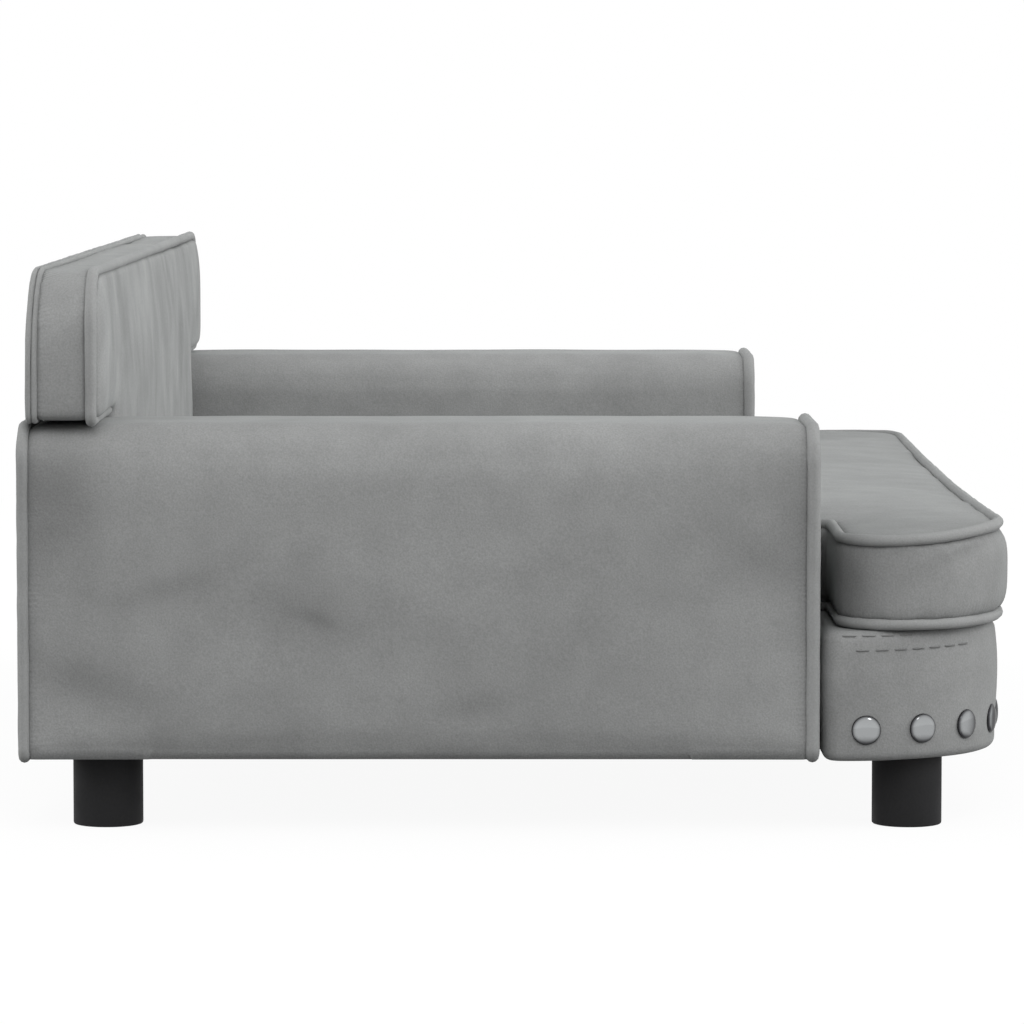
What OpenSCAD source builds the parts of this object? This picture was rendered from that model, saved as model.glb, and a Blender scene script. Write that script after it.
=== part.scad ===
// Dog sofa bed: two box arms, a T-shaped back, a seat base on four round legs
// and a loose T-shaped cushion. The origin is on the floor at the middle of the
// footprint, +Z is up and the front faces -Y. Left and right are seen from the front.

/* [Overall size] */
// Width over the arms
overall_w = 900; // [760:10:1200]
// Depth from the back of the arms to the front of the cushion
overall_d = 538; // [440:2:700]
// Smoothness of round shapes
$fn = 48; // [32:8:96]

/* [Upholstery] */
// Thickness of the velvet with its backing
fabric_t = 1.2; // [0.8:0.1:2]
// Thickness of the wadding on flat faces
wadding_t = 6; // [3:0.5:10]
// Diameter of the piping
piping_d = 7; // [5:0.5:9]
// How far the piping stands proud of the covers
piping_proud = 2; // [1:0.25:3]
// Slack between a seam and its piping
seam_gap = 0.3; // [0.2:0.05:0.6]

/* [Legs] */
// Height of a leg
leg_h = 40; // [30:1:60]
// Diameter of a leg
leg_d = 38; // [30:1:50]
// Leg centre from the side of the sofa
leg_inset_x = 47; // [40:1:60]
// Centre of a front leg from the front of the cushion
front_leg_inset = 58; // [48:1:70]
// Centre of a rear leg from the back of the arms
rear_leg_inset = 45; // [40:1:60]

/* [Arms] */
// Thickness of an arm over its piping
arm_t = 115; // [95:1:150]
// Height of an arm cover above the legs
arm_h = 179; // [150:1:230]
// How far the arms stop short of the front of the cushion
arm_setback = 108; // [90:1:140]
// Radius along the top edges of an arm
arm_edge_r = 20; // [12:1:28]
// Thickness of the foam on top of an arm
arm_top_foam = 12; // [8:1:16]

/* [Back] */
// Rise of the back cover above the arms
back_rise = 82; // [60:1:140]
// Thickness of the back over its piping
back_t = 39; // [34:1:50]
// How far the back stands in from the rear of the arms
back_inset = 4.5; // [0:0.5:10]
// How far the front of the back swells past its piping
back_swell = 4; // [1:0.5:6]
// Radius of the upper corners of the back
back_corner_r = 34; // [16:1:40]

/* [Seat base] */
// Height of the seat base above the legs
base_h = 69; // [60:1:90]
// Plan radius of the front corners of the seat base
base_corner_r = 85; // [50:1:85]
// How far the seat base stands in from the front of the cushion
base_front_inset = 6; // [2:0.5:6]
// How far the seat base stands in from the side of the sofa
base_side_inset = 3.5; // [3.5:0.5:8]
// Gap between the seat base and the front of an arm
base_arm_gap = 3.5; // [2:0.5:6]
// Diameter of an upholstery nail head
nail_d = 16; // [10:1:18]
// Distance between two nails
nail_pitch = 32.5; // [22:0.5:40]
// Height of the nails above the lower edge
nail_rise = 16; // [12:0.5:24]

/* [Cushion] */
// Thickness of the cushion over its piping
cushion_t = 52; // [40:1:70]
// Plan radius of the front corners of the cushion
cushion_corner_r = 78; // [50:1:78]
// Plan radius of the rear corners of the ears
ear_corner_r = 18; // [12:1:19]
// Gap between an ear of the cushion and the front of an arm
cushion_arm_gap = 9; // [5:0.5:14]
// Gap between the cushion and the back
cushion_back_gap = 10; // [7:0.5:20]
// Length of the zip
zip_l = 480; // [300:5:560]

/* [Frame boards] */
// Thickness of the panels of an arm
panel_t = 9; // [6:1:15]
// Thickness of the seat boards, the end boards and the back board
board_t = 12; // [9:1:15]
// Thickness of the rails
rail_t = 18; // [15:1:24]
// Thickness of the bent strip behind the apron
backing_t = 3; // [2:0.5:4]

/* [Fasteners] */
// Diameter of a leg bolt
leg_bolt_d = 8; // [6:1:10]
// Diameter of a frame bolt
frame_bolt_d = 6; // [5:1:8]
// Radial slack of a bolt in its hole
bolt_slack = 0.2; // [0.1:0.05:0.4]

/* [Hidden] */

// Overrun of every cut
cut = 1;
// Slack between the loose cushion and what it lies on
rest_gap = 0.3;
// How far a flat cover lies behind the crown of its piping
cover_sink = 1;
// Slack between a stem and the piping of the arms beside it
stem_gap = 0.3;
// Thickness of the cloths over and under the seat base
cloth_t = 0.8;

piping_r = piping_d / 2;
// From the face of a cover to the middle of its piping
piping_in = piping_r - piping_proud;
// From the face of a cover to the edge of the panel inside the piping
seam_in = piping_d - piping_proud + seam_gap;
// From the crown of the piping to the end of the cover beside it
seam_run = piping_d + seam_gap;

rear_y = overall_d / 2;
front_y = -overall_d / 2;
arm_front_y = front_y + arm_setback;
arm_w = arm_t - 2 * piping_proud;
arm_x = (overall_w - arm_t) / 2;
arm_top = leg_h + arm_h;
// Half the clear width between the arm covers
bay_half = arm_x - arm_w / 2;
leg_x = overall_w / 2 - leg_inset_x;
front_leg_y = front_y + front_leg_inset;
rear_leg_y = rear_y - rear_leg_inset;

// Arms: foot radius of the end panels and the wooden box inside the foam
arm_foot_r = piping_d;
arm_box_w = arm_w - 2 * (fabric_t + wadding_t);
arm_box_bottom = leg_h + fabric_t;
arm_box_top = arm_top - fabric_t - arm_top_foam;
arm_box_inset = cover_sink + fabric_t + wadding_t;
arm_box_front = arm_front_y + arm_box_inset;
arm_box_rear = rear_y - arm_box_inset;
arm_panel_bottom = arm_box_bottom + board_t;
arm_panel_top = arm_box_top - panel_t;

// Back: planes along Y, from the rear to the front
back_rear_y = rear_y - back_inset;
back_rear_cover_y = back_rear_y - cover_sink - fabric_t;
back_boxing_rear_y = back_rear_y - seam_run;
back_board_y = back_rear_cover_y - board_t;
back_front_y = back_rear_y - back_t;
back_boxing_front_y = back_front_y + seam_run;
back_face_y = back_front_y - back_swell;
back_wing_half = overall_w / 2 - piping_proud;
back_wing_bottom = arm_top + 2 * piping_proud;
back_top = arm_top + back_rise;
back_stem_half = bay_half - piping_proud - stem_gap;
back_wing_foot_r = piping_d;
back_board_inset = board_t;

// Seat base: a T in plan, seen from above
base_top = leg_h + base_h;
base_front_y = front_y + base_front_inset;
base_half = overall_w / 2 - base_side_inset;
base_ear_y = arm_front_y - base_arm_gap;
base_rear_y = back_face_y - rest_gap;
base_stem_half = bay_half - piping_proud - stem_gap;
base_ear_r = piping_d + wadding_t;
backing_in = fabric_t + wadding_t;
rail_in = backing_in + backing_t;
base_board_z = leg_h + cloth_t;
rail_bottom = base_board_z + board_t;
deck_board_z = base_top - cloth_t - board_t;
rail_h = deck_board_z - rail_bottom;
front_rail_y = base_front_y + rail_in;
front_rail_half = base_half - base_corner_r;
rear_rail_y = base_rear_y - fabric_t - rail_t;
side_rail_x = base_stem_half - fabric_t - rail_t;
// Places of the ribs and of the back bolts across the stem
rib_shares = [-0.5, 0, 0.5];
ear_block_w = base_corner_r - rail_in;

// Nails: the way along the front corner and the front, from the first nail to the middle
nail_start = 9;
nail_arc = 90;
corner_way = base_corner_r * nail_arc * PI / 180;
half_way = corner_way - nail_start + front_rail_half;
nail_steps = round(half_way / nail_pitch);
nail_step = half_way / nail_steps;
nail_dome_h = 3;
nail_pin_d = 2;
nail_pin_l = backing_in + backing_t;
nail_pin_slack = 0.1;

// Cushion: a T in plan that lies on the seat base
cushion_bottom = base_top + rest_gap;
cushion_top = cushion_bottom + cushion_t;
cushion_half = overall_w / 2 - piping_proud * 2;
cushion_front_y = front_y + piping_proud;
cushion_ear_y = arm_front_y - cushion_arm_gap;
cushion_rear_y = back_face_y - cushion_back_gap - piping_proud;
cushion_side_gap = 1;
cushion_stem_half = bay_half - 2 * piping_proud - cushion_side_gap;
cushion_rear_r = piping_d + wadding_t;
cushion_notch_r = piping_d;

// Zip in the rear boxing of the cushion
zip_w = 24;
zip_coil_d = 4;
zip_tape_t = fabric_t;
zip_slack = 0.3;
zip_z = (cushion_bottom + cushion_top) / 2;
slider_l = 12;
slider_w = 9;
slider_wall = 1;
slider_h = zip_coil_d / 2 + zip_slack + slider_wall;

// Leg bolts and their tee nuts
leg_bolt_share = 0.75;
leg_bolt_depth = leg_h * leg_bolt_share;
tee_flange_d = 22;
tee_flange_t = 1.5;
tee_wall = 1.25;
tee_barrel_d = leg_bolt_d + 2 * tee_wall;
tee_slack = 0.1;
tee_well_slack = 1;
tee_well_d = tee_flange_d + 2 * tee_well_slack;

// Frame bolts: they lie halfway up the rails
frame_bolt_z = rail_bottom + rail_h / 2;
frame_barrel_d = frame_bolt_d + 2 * tee_wall;
frame_head_d = frame_bolt_d * 2;
frame_head_t = 4;
frame_nut_d = frame_bolt_d * 2.5;
frame_nut_t = 3;
arm_bolt_ys = [arm_front_y + arm_setback / 2, rear_y - arm_setback];
back_bolt_shares = [-0.7, -0.25, 0.25, 0.7];

velvet = "#8f9392";
velvet_light = "#a3a8a6";
wood = "#c9a77a";
fibreboard = "#a58a62";
foam = "#e6dfc3";
steel = "#b9bcc0";
black = "#2b2b2c";

// Flat outlines

// The quarter of a disc that lies towards the given signs of X and Y
module quarter_disc(r, x_sign, y_sign) {
    intersection() {
        circle(r);
        translate([min(x_sign, 0) * r, min(y_sign, 0) * r]) square(r);
    }
}

// A rectangle between two corners with one radius at its lower and one at its upper corners
module round_rect(low, high, low_r, high_r) {
    w = high.x - low.x;
    translate([low.x, low.y + low_r]) square([w, high.y - low.y - low_r - high_r]);
    if (low_r > 0) {
        translate([low.x + low_r, low.y]) square([w - 2 * low_r, low_r]);
        translate([low.x + low_r, low.y + low_r]) quarter_disc(low_r, -1, -1);
        translate([high.x - low_r, low.y + low_r]) quarter_disc(low_r, 1, -1);
    }
    if (high_r > 0) {
        translate([low.x + high_r, high.y - high_r]) square([w - 2 * high_r, high_r]);
        translate([low.x + high_r, high.y - high_r]) quarter_disc(high_r, -1, 1);
        translate([high.x - high_r, high.y - high_r]) quarter_disc(high_r, 1, 1);
    }
}

// The section of an arm, X and Z, with its middle at X = 0
module arm_section(inset) {
    round_rect([-arm_w / 2 + inset, leg_h + inset], [arm_w / 2 - inset, arm_top - inset],
        max(arm_foot_r - inset, 0), arm_edge_r - inset);
}

// The elevation of the back, X and Z: wings over the arms and a stem between them
module back_elevation(wing_inset, stem_inset) {
    round_rect([-back_wing_half + wing_inset, back_wing_bottom + wing_inset],
        [back_wing_half - wing_inset, back_top - wing_inset],
        max(back_wing_foot_r - wing_inset, 0), back_corner_r - wing_inset);
    translate([-back_stem_half + stem_inset, leg_h + stem_inset])
        square([2 * (back_stem_half - stem_inset), back_wing_bottom + piping_d - leg_h]);
}

// The plan of the ears of the seat base, X and Y
module base_ears(inset) {
    round_rect([-base_half + inset, base_front_y + inset], [base_half - inset, base_ear_y - inset],
        base_corner_r - inset, max(base_ear_r - inset, 0));
}

// The plan of the stem of the seat base
module base_stem(inset) {
    translate([-base_stem_half + inset, base_front_y + base_corner_r])
        square([2 * (base_stem_half - inset), base_rear_y - inset - base_front_y - base_corner_r]);
}

module base_plan(ear_inset, stem_inset) {
    base_ears(ear_inset);
    base_stem(stem_inset);
}

// The plan of the cushion
module cushion_plan(inset) {
    round_rect([-cushion_half + inset, cushion_front_y + inset],
        [cushion_half - inset, cushion_ear_y - inset], cushion_corner_r - inset, ear_corner_r - inset);
    round_rect([-cushion_stem_half + inset, cushion_front_y + cushion_corner_r],
        [cushion_stem_half - inset, cushion_rear_y - inset], 0, cushion_rear_r - inset);
}

// Placing

// Extrude an elevation, drawn in X and Z, from one Y to another
module along_y(from_y, to_y) {
    translate([0, to_y, 0]) rotate([90, 0, 0]) linear_extrude(to_y - from_y) children();
}

// Extrude a plan from one height to another
module upright(from_z, to_z) {
    translate([0, 0, from_z]) linear_extrude(to_z - from_z) children();
}

module slab(low, high) {
    translate(low) cube(high - low);
}

// The arms are mirror images, so side is -1 for the left one and 1 for the right one
module on_arm(side) {
    translate([side * arm_x, 0, 0]) mirror([side < 0 ? 1 : 0, 0, 0]) children();
}

module at_legs() {
    for (x = [-leg_x, leg_x], y = [front_leg_y, rear_leg_y]) translate([x, y, 0]) children();
}

// A bolt's place, with its axis along X and its head towards the middle of the sofa
module at_arm_bolts() {
    for (side = [-1, 1], y = arm_bolt_ys)
        translate([side * side_rail_x, y, frame_bolt_z]) rotate([0, side * 90, 0]) children();
}

// A bolt's place, with its axis along Y and its head towards the front
module at_back_bolts() {
    for (share = back_bolt_shares)
        translate([share * back_stem_half, rear_rail_y, frame_bolt_z]) rotate([-90, 0, 0]) children();
}

// Nail k counts from the first nail to the middle of the front. Its Z axis points outwards.
module at_nails() {
    for (side = [-1, 1], k = [0 : nail_steps]) if (side < 0 || k < nail_steps) {
        way = nail_start + k * nail_step;
        turn = min(way / corner_way, 1) * nail_arc;
        along = max(way - corner_way, 0);
        translate([side * (front_rail_half - along + base_corner_r * cos(turn)),
            base_front_y + base_corner_r - base_corner_r * sin(turn), leg_h + nail_rise])
            rotate([90, 0, side * (nail_arc - turn)]) children();
    }
}

// Piping

// A round cord along straight runs joined by quarter bends. The turns are right angles.
module cord(points, radii, closed) {
    count = len(points);
    last = closed ? count - 1 : count - 2;
    for (i = [0 : last]) {
        a = points[i];
        b = points[(i + 1) % count];
        way = (b - a) / norm(b - a);
        lead = closed || i > 0 ? radii[i] : 0;
        tail = closed || i < last ? radii[(i + 1) % count] : 0;
        translate(a + way * lead) rotate([0, 90, atan2(way.y, way.x)])
            cylinder(d = piping_d, h = norm(b - a) - lead - tail);
    }
    for (i = [closed ? 0 : 1 : closed ? count - 1 : count - 2]) {
        way_in = (points[i] - points[(i + count - 1) % count]);
        way_out = (points[(i + 1) % count] - points[i]);
        u = way_in / norm(way_in);
        v = way_out / norm(way_out);
        centre = points[i] - u * radii[i] + v * radii[i];
        start = atan2(-v.y, -v.x);
        stop = cross(u, v) > 0 ? start : start - 90;
        translate(centre) rotate([0, 0, stop]) rotate_extrude(angle = 90)
            translate([radii[i], 0]) circle(d = piping_d);
    }
}

// Fasteners

module tee_nut(bore_d, barrel_d, flange_d, flange_t, barrel_l) {
    difference() {
        union() {
            translate([0, 0, -barrel_l]) cylinder(d = barrel_d, h = barrel_l);
            cylinder(d = flange_d, h = flange_t);
        }
        translate([0, 0, -barrel_l - cut]) cylinder(d = bore_d, h = barrel_l + flange_t + 2 * cut);
    }
}

// Seat base

module leg_bores(bore_d, from_z, to_z) {
    at_legs() translate([0, 0, from_z]) cylinder(d = bore_d, h = to_z - from_z);
}

module frame_bore(length, bore_d) {
    translate([0, 0, -cut]) cylinder(d = bore_d, h = length + 2 * cut);
}

module base_board() {
    color(fibreboard) difference() {
        upright(base_board_z, rail_bottom) base_plan(rail_in, fabric_t);
        leg_bores(tee_barrel_d + 2 * tee_slack, base_board_z - cut, rail_bottom + cut);
    }
}

module deck_board() {
    color(fibreboard) upright(deck_board_z, deck_board_z + board_t) base_plan(rail_in, fabric_t);
}

module front_rail() {
    color(wood) slab([-front_rail_half, front_rail_y, rail_bottom],
        [front_rail_half, front_rail_y + rail_t, deck_board_z]);
}

module rear_rail() {
    color(wood) difference() {
        slab([-side_rail_x, rear_rail_y, rail_bottom], [side_rail_x, rear_rail_y + rail_t, deck_board_z]);
        at_back_bolts() frame_bore(rail_t, frame_bolt_d + 2 * bolt_slack);
    }
}

module side_rails() {
    color(wood) difference() {
        for (side = [-1, 1])
            slab([min(side * side_rail_x, side * (side_rail_x + rail_t)), front_rail_y + rail_t, rail_bottom],
                [max(side * side_rail_x, side * (side_rail_x + rail_t)), rear_rail_y + rail_t, deck_board_z]);
        at_arm_bolts() frame_bore(rail_t, frame_bolt_d + 2 * bolt_slack);
    }
}

module cross_ribs() {
    color(wood) for (share = rib_shares)
        slab([share * side_rail_x - rail_t / 2, front_rail_y + rail_t, rail_bottom],
            [share * side_rail_x + rail_t / 2, rear_rail_y, deck_board_z]);
}

// A block in each ear fills the round corner and stands on the board that holds the leg
module ear_blocks() {
    color(wood) difference() {
        upright(rail_bottom, deck_board_z) intersection() {
            base_ears(rail_in);
            for (side = [-1, 1])
                translate([side > 0 ? front_rail_half : -front_rail_half - ear_block_w, base_front_y])
                    square([ear_block_w, base_ear_y - base_front_y]);
        }
        leg_bores(tee_well_d, rail_bottom - cut, deck_board_z + cut);
    }
}

// The strip, the wadding and the cover that wrap the ears
module ear_wrap(outer_in, inner_in, from_z, to_z) {
    upright(from_z, to_z) difference() {
        base_ears(outer_in);
        base_ears(inner_in);
        base_stem(0);
    }
}

module nail_bores() {
    at_nails() translate([0, 0, -nail_pin_l - cut])
        cylinder(d = nail_pin_d + 2 * nail_pin_slack, h = nail_pin_l + 2 * cut);
}

module apron_backing() {
    color(fibreboard) difference() {
        ear_wrap(backing_in, rail_in, base_board_z, deck_board_z + board_t);
        nail_bores();
    }
}

module apron_padding() {
    color(foam) difference() {
        ear_wrap(fabric_t, backing_in, base_board_z, deck_board_z + board_t);
        nail_bores();
    }
}

module apron_cover() {
    color(velvet) difference() {
        upright(leg_h, base_top - cloth_t) difference() {
            base_plan(0, 0);
            base_plan(fabric_t, fabric_t);
        }
        nail_bores();
        at_arm_bolts() frame_bore(rail_t + fabric_t, frame_bolt_d + 2 * bolt_slack);
        at_back_bolts() frame_bore(rail_t + fabric_t, frame_bolt_d + 2 * bolt_slack);
    }
}

module apron_nails() {
    color("silver") at_nails() {
        dome_r = (nail_d * nail_d / 4 + nail_dome_h * nail_dome_h) / (2 * nail_dome_h);
        rotate_extrude() intersection() {
            translate([0, nail_dome_h - dome_r]) circle(dome_r);
            square([nail_d / 2, nail_dome_h]);
        }
        translate([0, 0, -nail_pin_l]) cylinder(d = nail_pin_d, h = nail_pin_l);
    }
}

module deck_cloth() {
    color(velvet) upright(base_top - cloth_t, base_top) base_plan(0, 0);
}

module dust_cover() {
    color(black) difference() {
        upright(leg_h, leg_h + cloth_t) base_plan(fabric_t, fabric_t);
        leg_bores(tee_barrel_d + 2 * tee_slack, leg_h - cut, leg_h + cloth_t + cut);
    }
}

// Arms, drawn round X = 0 with the outer side at +X

module arm_outer_panel(side) {
    color(fibreboard) on_arm(side) slab([arm_box_w / 2 - panel_t, arm_box_front, arm_panel_bottom],
        [arm_box_w / 2, arm_box_rear, arm_panel_top]);
}

// The inner panel is the one that the bolts pull against the seat base
module arm_inner_panel(side) {
    color(fibreboard) difference() {
        on_arm(side) slab([-arm_box_w / 2, arm_box_front, arm_panel_bottom],
            [-arm_box_w / 2 + panel_t, arm_box_rear, arm_panel_top]);
        at_arm_bolts() frame_bore(arm_t, frame_barrel_d + 2 * tee_slack);
    }
}

module arm_top_board(side) {
    color(fibreboard) on_arm(side) slab([-arm_box_w / 2, arm_box_front, arm_panel_top],
        [arm_box_w / 2, arm_box_rear, arm_box_top]);
}

module arm_bottom_board(side) {
    color(fibreboard) difference() {
        on_arm(side) slab([-arm_box_w / 2, arm_box_front, arm_box_bottom],
            [arm_box_w / 2, arm_box_rear, arm_panel_bottom]);
        leg_bores(tee_barrel_d + 2 * tee_slack, arm_box_bottom - cut, arm_panel_bottom + cut);
    }
}

module arm_end_boards(side) {
    color(fibreboard) on_arm(side) for (y = [arm_box_front, arm_box_rear - board_t])
        slab([-arm_box_w / 2 + panel_t, y, arm_panel_bottom],
            [arm_box_w / 2 - panel_t, y + board_t, arm_panel_top]);
}

module arm_padding(side) {
    color(foam) difference() {
        on_arm(side) difference() {
            union() {
                along_y(arm_front_y + seam_run, rear_y - seam_run) arm_section(fabric_t);
                along_y(arm_front_y + cover_sink + fabric_t, rear_y - cover_sink - fabric_t)
                    arm_section(seam_in);
            }
            slab([-arm_box_w / 2, arm_box_front, leg_h], [arm_box_w / 2, arm_box_rear, arm_box_top]);
        }
        at_arm_bolts() frame_bore(rail_t + arm_t / 2, frame_bolt_d + 2 * bolt_slack);
    }
}

module arm_cover(side) {
    color(velvet) difference() {
        on_arm(side) along_y(arm_front_y + seam_run, rear_y - seam_run) difference() {
            arm_section(0);
            arm_section(fabric_t);
        }
        at_arm_bolts() frame_bore(rail_t + arm_t / 2, frame_bolt_d + 2 * bolt_slack);
        leg_bores(tee_barrel_d + 2 * tee_slack, leg_h - cut, leg_h + fabric_t + cut);
    }
}

module arm_end_covers(side) {
    color(velvet) on_arm(side) {
        along_y(arm_front_y + cover_sink, arm_front_y + cover_sink + fabric_t) arm_section(seam_in);
        along_y(rear_y - cover_sink - fabric_t, rear_y - cover_sink) arm_section(seam_in);
    }
}

// The piping follows the edge of each end of the arm
module arm_piping(side) {
    x = arm_w / 2 - piping_in;
    low = leg_h + piping_in;
    high = arm_top - piping_in;
    foot_r = arm_foot_r - piping_in;
    edge_r = arm_edge_r - piping_in;
    color(velvet_light) on_arm(side) for (y = [arm_front_y + piping_r, rear_y - piping_r])
        translate([0, y, 0]) rotate([90, 0, 0])
            cord([[-x, low], [x, low], [x, high], [-x, high]], [foot_r, foot_r, edge_r, edge_r], true);
}

// Back

module back_bores(length, bore_d) {
    at_back_bolts() frame_bore(length, bore_d);
}

module back_board() {
    color(fibreboard) difference() {
        along_y(back_board_y, back_rear_cover_y) back_elevation(back_board_inset, wadding_t);
        back_bores(back_rear_cover_y - rear_rail_y - frame_nut_t, frame_bolt_d + 2 * bolt_slack);
        translate([0, back_rear_cover_y - frame_nut_t - rear_rail_y, 0])
            back_bores(frame_nut_t, frame_nut_d + 2 * bolt_slack);
    }
}

module back_padding() {
    color(foam) difference() {
        union() {
            along_y(back_face_y + fabric_t, back_rear_cover_y) back_elevation(seam_in, fabric_t);
            along_y(back_boxing_front_y, back_boxing_rear_y) back_elevation(fabric_t, fabric_t);
        }
        along_y(back_board_y, back_rear_cover_y + cut) back_elevation(back_board_inset, wadding_t);
        back_bores(back_rear_cover_y - rear_rail_y, frame_bolt_d + 2 * bolt_slack);
    }
}

module back_front_cover() {
    color(velvet) difference() {
        along_y(back_face_y, back_face_y + fabric_t) back_elevation(seam_in, fabric_t);
        back_bores(back_face_y + fabric_t - rear_rail_y, frame_bolt_d + 2 * bolt_slack);
    }
}

module back_rear_cover() {
    color(velvet) along_y(back_rear_cover_y, back_rear_cover_y + fabric_t) back_elevation(seam_in, fabric_t);
}

module back_boxing() {
    color(velvet) along_y(back_boxing_front_y, back_boxing_rear_y) difference() {
        back_elevation(0, 0);
        back_elevation(fabric_t, fabric_t);
    }
}

// The piping of the back starts and ends where its wings meet the stem
module back_piping(y) {
    x = back_wing_half - piping_in;
    low = back_wing_bottom + piping_in;
    high = back_top - piping_in;
    foot_r = back_wing_foot_r - piping_in;
    top_r = back_corner_r - piping_in;
    start = back_stem_half + piping_in;
    color(velvet_light) translate([0, y, 0]) rotate([90, 0, 0])
        cord([[start, low], [x, low], [x, high], [-x, high], [-x, low], [-start, low]],
            [0, foot_r, top_r, top_r, foot_r, 0], false);
}

module back_front_piping() {
    back_piping(back_front_y + piping_r);
}

module back_rear_piping() {
    back_piping(back_rear_y - piping_r);
}

// Legs and fasteners

module leg(x, y) {
    color(black) translate([x, y, 0]) difference() {
        cylinder(d = leg_d, h = leg_h);
        translate([0, 0, leg_h - leg_bolt_depth])
            cylinder(d = leg_bolt_d + 2 * tee_slack, h = leg_bolt_depth + cut);
    }
}

// The rear legs stand under the arms and the front legs under the seat base
module leg_bolts() {
    for (x = [-leg_x, leg_x], y = [front_leg_y, rear_leg_y]) {
        tip = (y > 0 ? arm_panel_bottom : rail_bottom) + tee_flange_t;
        color(steel) translate([x, y, leg_h - leg_bolt_depth])
            cylinder(d = leg_bolt_d, h = tip - leg_h + leg_bolt_depth);
    }
}

module leg_tee_nuts() {
    for (x = [-leg_x, leg_x], y = [front_leg_y, rear_leg_y])
        color(steel) translate([x, y, y > 0 ? arm_panel_bottom : rail_bottom])
            tee_nut(leg_bolt_d + 2 * tee_slack, tee_barrel_d, tee_flange_d, tee_flange_t, board_t);
}

// From the inner face of the side rail to the far face of the arm's inner panel
arm_bolt_reach = arm_x - arm_box_w / 2 + panel_t - side_rail_x;

module arm_bolts() {
    color(steel) at_arm_bolts() {
        translate([0, 0, -frame_head_t]) cylinder(d = frame_head_d, h = frame_head_t);
        cylinder(d = frame_bolt_d, h = arm_bolt_reach + frame_nut_t);
    }
}

module arm_tee_nuts() {
    color(steel) at_arm_bolts() translate([0, 0, arm_bolt_reach])
        tee_nut(frame_bolt_d + 2 * tee_slack, frame_barrel_d, frame_nut_d, tee_flange_t, panel_t);
}

module back_bolts() {
    reach = back_rear_cover_y - frame_nut_t - rear_rail_y;
    color(steel) at_back_bolts() {
        translate([0, 0, -frame_head_t]) cylinder(d = frame_head_d, h = frame_head_t);
        cylinder(d = frame_bolt_d, h = reach);
        translate([0, 0, reach]) cylinder(d = frame_nut_d, h = frame_nut_t);
    }
}

// Cushion

module cushion_foam() {
    color(foam) {
        upright(cushion_bottom + fabric_t, cushion_top - fabric_t) cushion_plan(seam_in);
        upright(cushion_bottom + seam_run, cushion_top - seam_run) cushion_plan(fabric_t);
    }
}

module cushion_top_cover() {
    color(velvet_light) upright(cushion_top - fabric_t, cushion_top) cushion_plan(seam_in);
}

module cushion_bottom_cover() {
    color(velvet) upright(cushion_bottom, cushion_bottom + fabric_t) cushion_plan(seam_in);
}

module cushion_boxing() {
    color(velvet) difference() {
        upright(cushion_bottom + seam_run, cushion_top - seam_run) difference() {
            cushion_plan(0);
            cushion_plan(fabric_t);
        }
        slab([-zip_l / 2, cushion_rear_y - fabric_t - cut, zip_z - zip_w / 2],
            [zip_l / 2, cushion_rear_y + cut, zip_z + zip_w / 2]);
    }
}

module cushion_piping(z) {
    ear_x = cushion_half - piping_in;
    stem_x = cushion_stem_half - piping_in;
    low = cushion_front_y + piping_in;
    ear = cushion_ear_y - piping_in;
    high = cushion_rear_y - piping_in;
    front_r = cushion_corner_r - piping_in;
    ear_r = ear_corner_r - piping_in;
    rear_r = cushion_rear_r - piping_in;
    color(velvet_light) translate([0, 0, z])
        cord([[-ear_x, low], [ear_x, low], [ear_x, ear], [stem_x, ear],
              [stem_x, high], [-stem_x, high], [-stem_x, ear], [-ear_x, ear]],
            [front_r, front_r, ear_r, cushion_notch_r, rear_r, rear_r, cushion_notch_r, ear_r], true);
}

module cushion_top_piping() {
    cushion_piping(cushion_top - piping_r);
}

module cushion_bottom_piping() {
    cushion_piping(cushion_bottom + piping_r);
}

// The zip fills the window in the rear boxing; its coil stands proud of the tape
module cushion_zip() {
    color(black) {
        slab([-zip_l / 2, cushion_rear_y - zip_tape_t, zip_z - zip_w / 2],
            [zip_l / 2, cushion_rear_y, zip_z + zip_w / 2]);
        intersection() {
            translate([-zip_l / 2, cushion_rear_y, zip_z]) rotate([0, 90, 0])
                cylinder(d = zip_coil_d, h = zip_l);
            slab([-zip_l / 2, cushion_rear_y - zip_tape_t, zip_z - zip_coil_d],
                [zip_l / 2, cushion_rear_y + zip_coil_d, zip_z + zip_coil_d]);
        }
    }
}

// The slider stands at the closed end of the zip and straddles the coil
module zip_slider() {
    x = -zip_l / 2 + slider_l;
    groove = zip_coil_d / 2 + zip_slack;
    color(steel) difference() {
        slab([x, cushion_rear_y + zip_slack, zip_z - slider_w / 2],
            [x + slider_l, cushion_rear_y + zip_slack + slider_h, zip_z + slider_w / 2]);
        translate([x - cut, cushion_rear_y, zip_z]) rotate([0, 90, 0])
            cylinder(r = groove, h = slider_l + 2 * cut);
    }
}

module left_arm_outer_panel() { arm_outer_panel(-1); }
module left_arm_inner_panel() { arm_inner_panel(-1); }
module left_arm_top_board() { arm_top_board(-1); }
module left_arm_bottom_board() { arm_bottom_board(-1); }
module left_arm_end_boards() { arm_end_boards(-1); }
module left_arm_padding() { arm_padding(-1); }
module left_arm_cover() { arm_cover(-1); }
module left_arm_end_covers() { arm_end_covers(-1); }
module left_arm_piping() { arm_piping(-1); }
module right_arm_outer_panel() { arm_outer_panel(1); }
module right_arm_inner_panel() { arm_inner_panel(1); }
module right_arm_top_board() { arm_top_board(1); }
module right_arm_bottom_board() { arm_bottom_board(1); }
module right_arm_end_boards() { arm_end_boards(1); }
module right_arm_padding() { arm_padding(1); }
module right_arm_cover() { arm_cover(1); }
module right_arm_end_covers() { arm_end_covers(1); }
module right_arm_piping() { arm_piping(1); }
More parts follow.
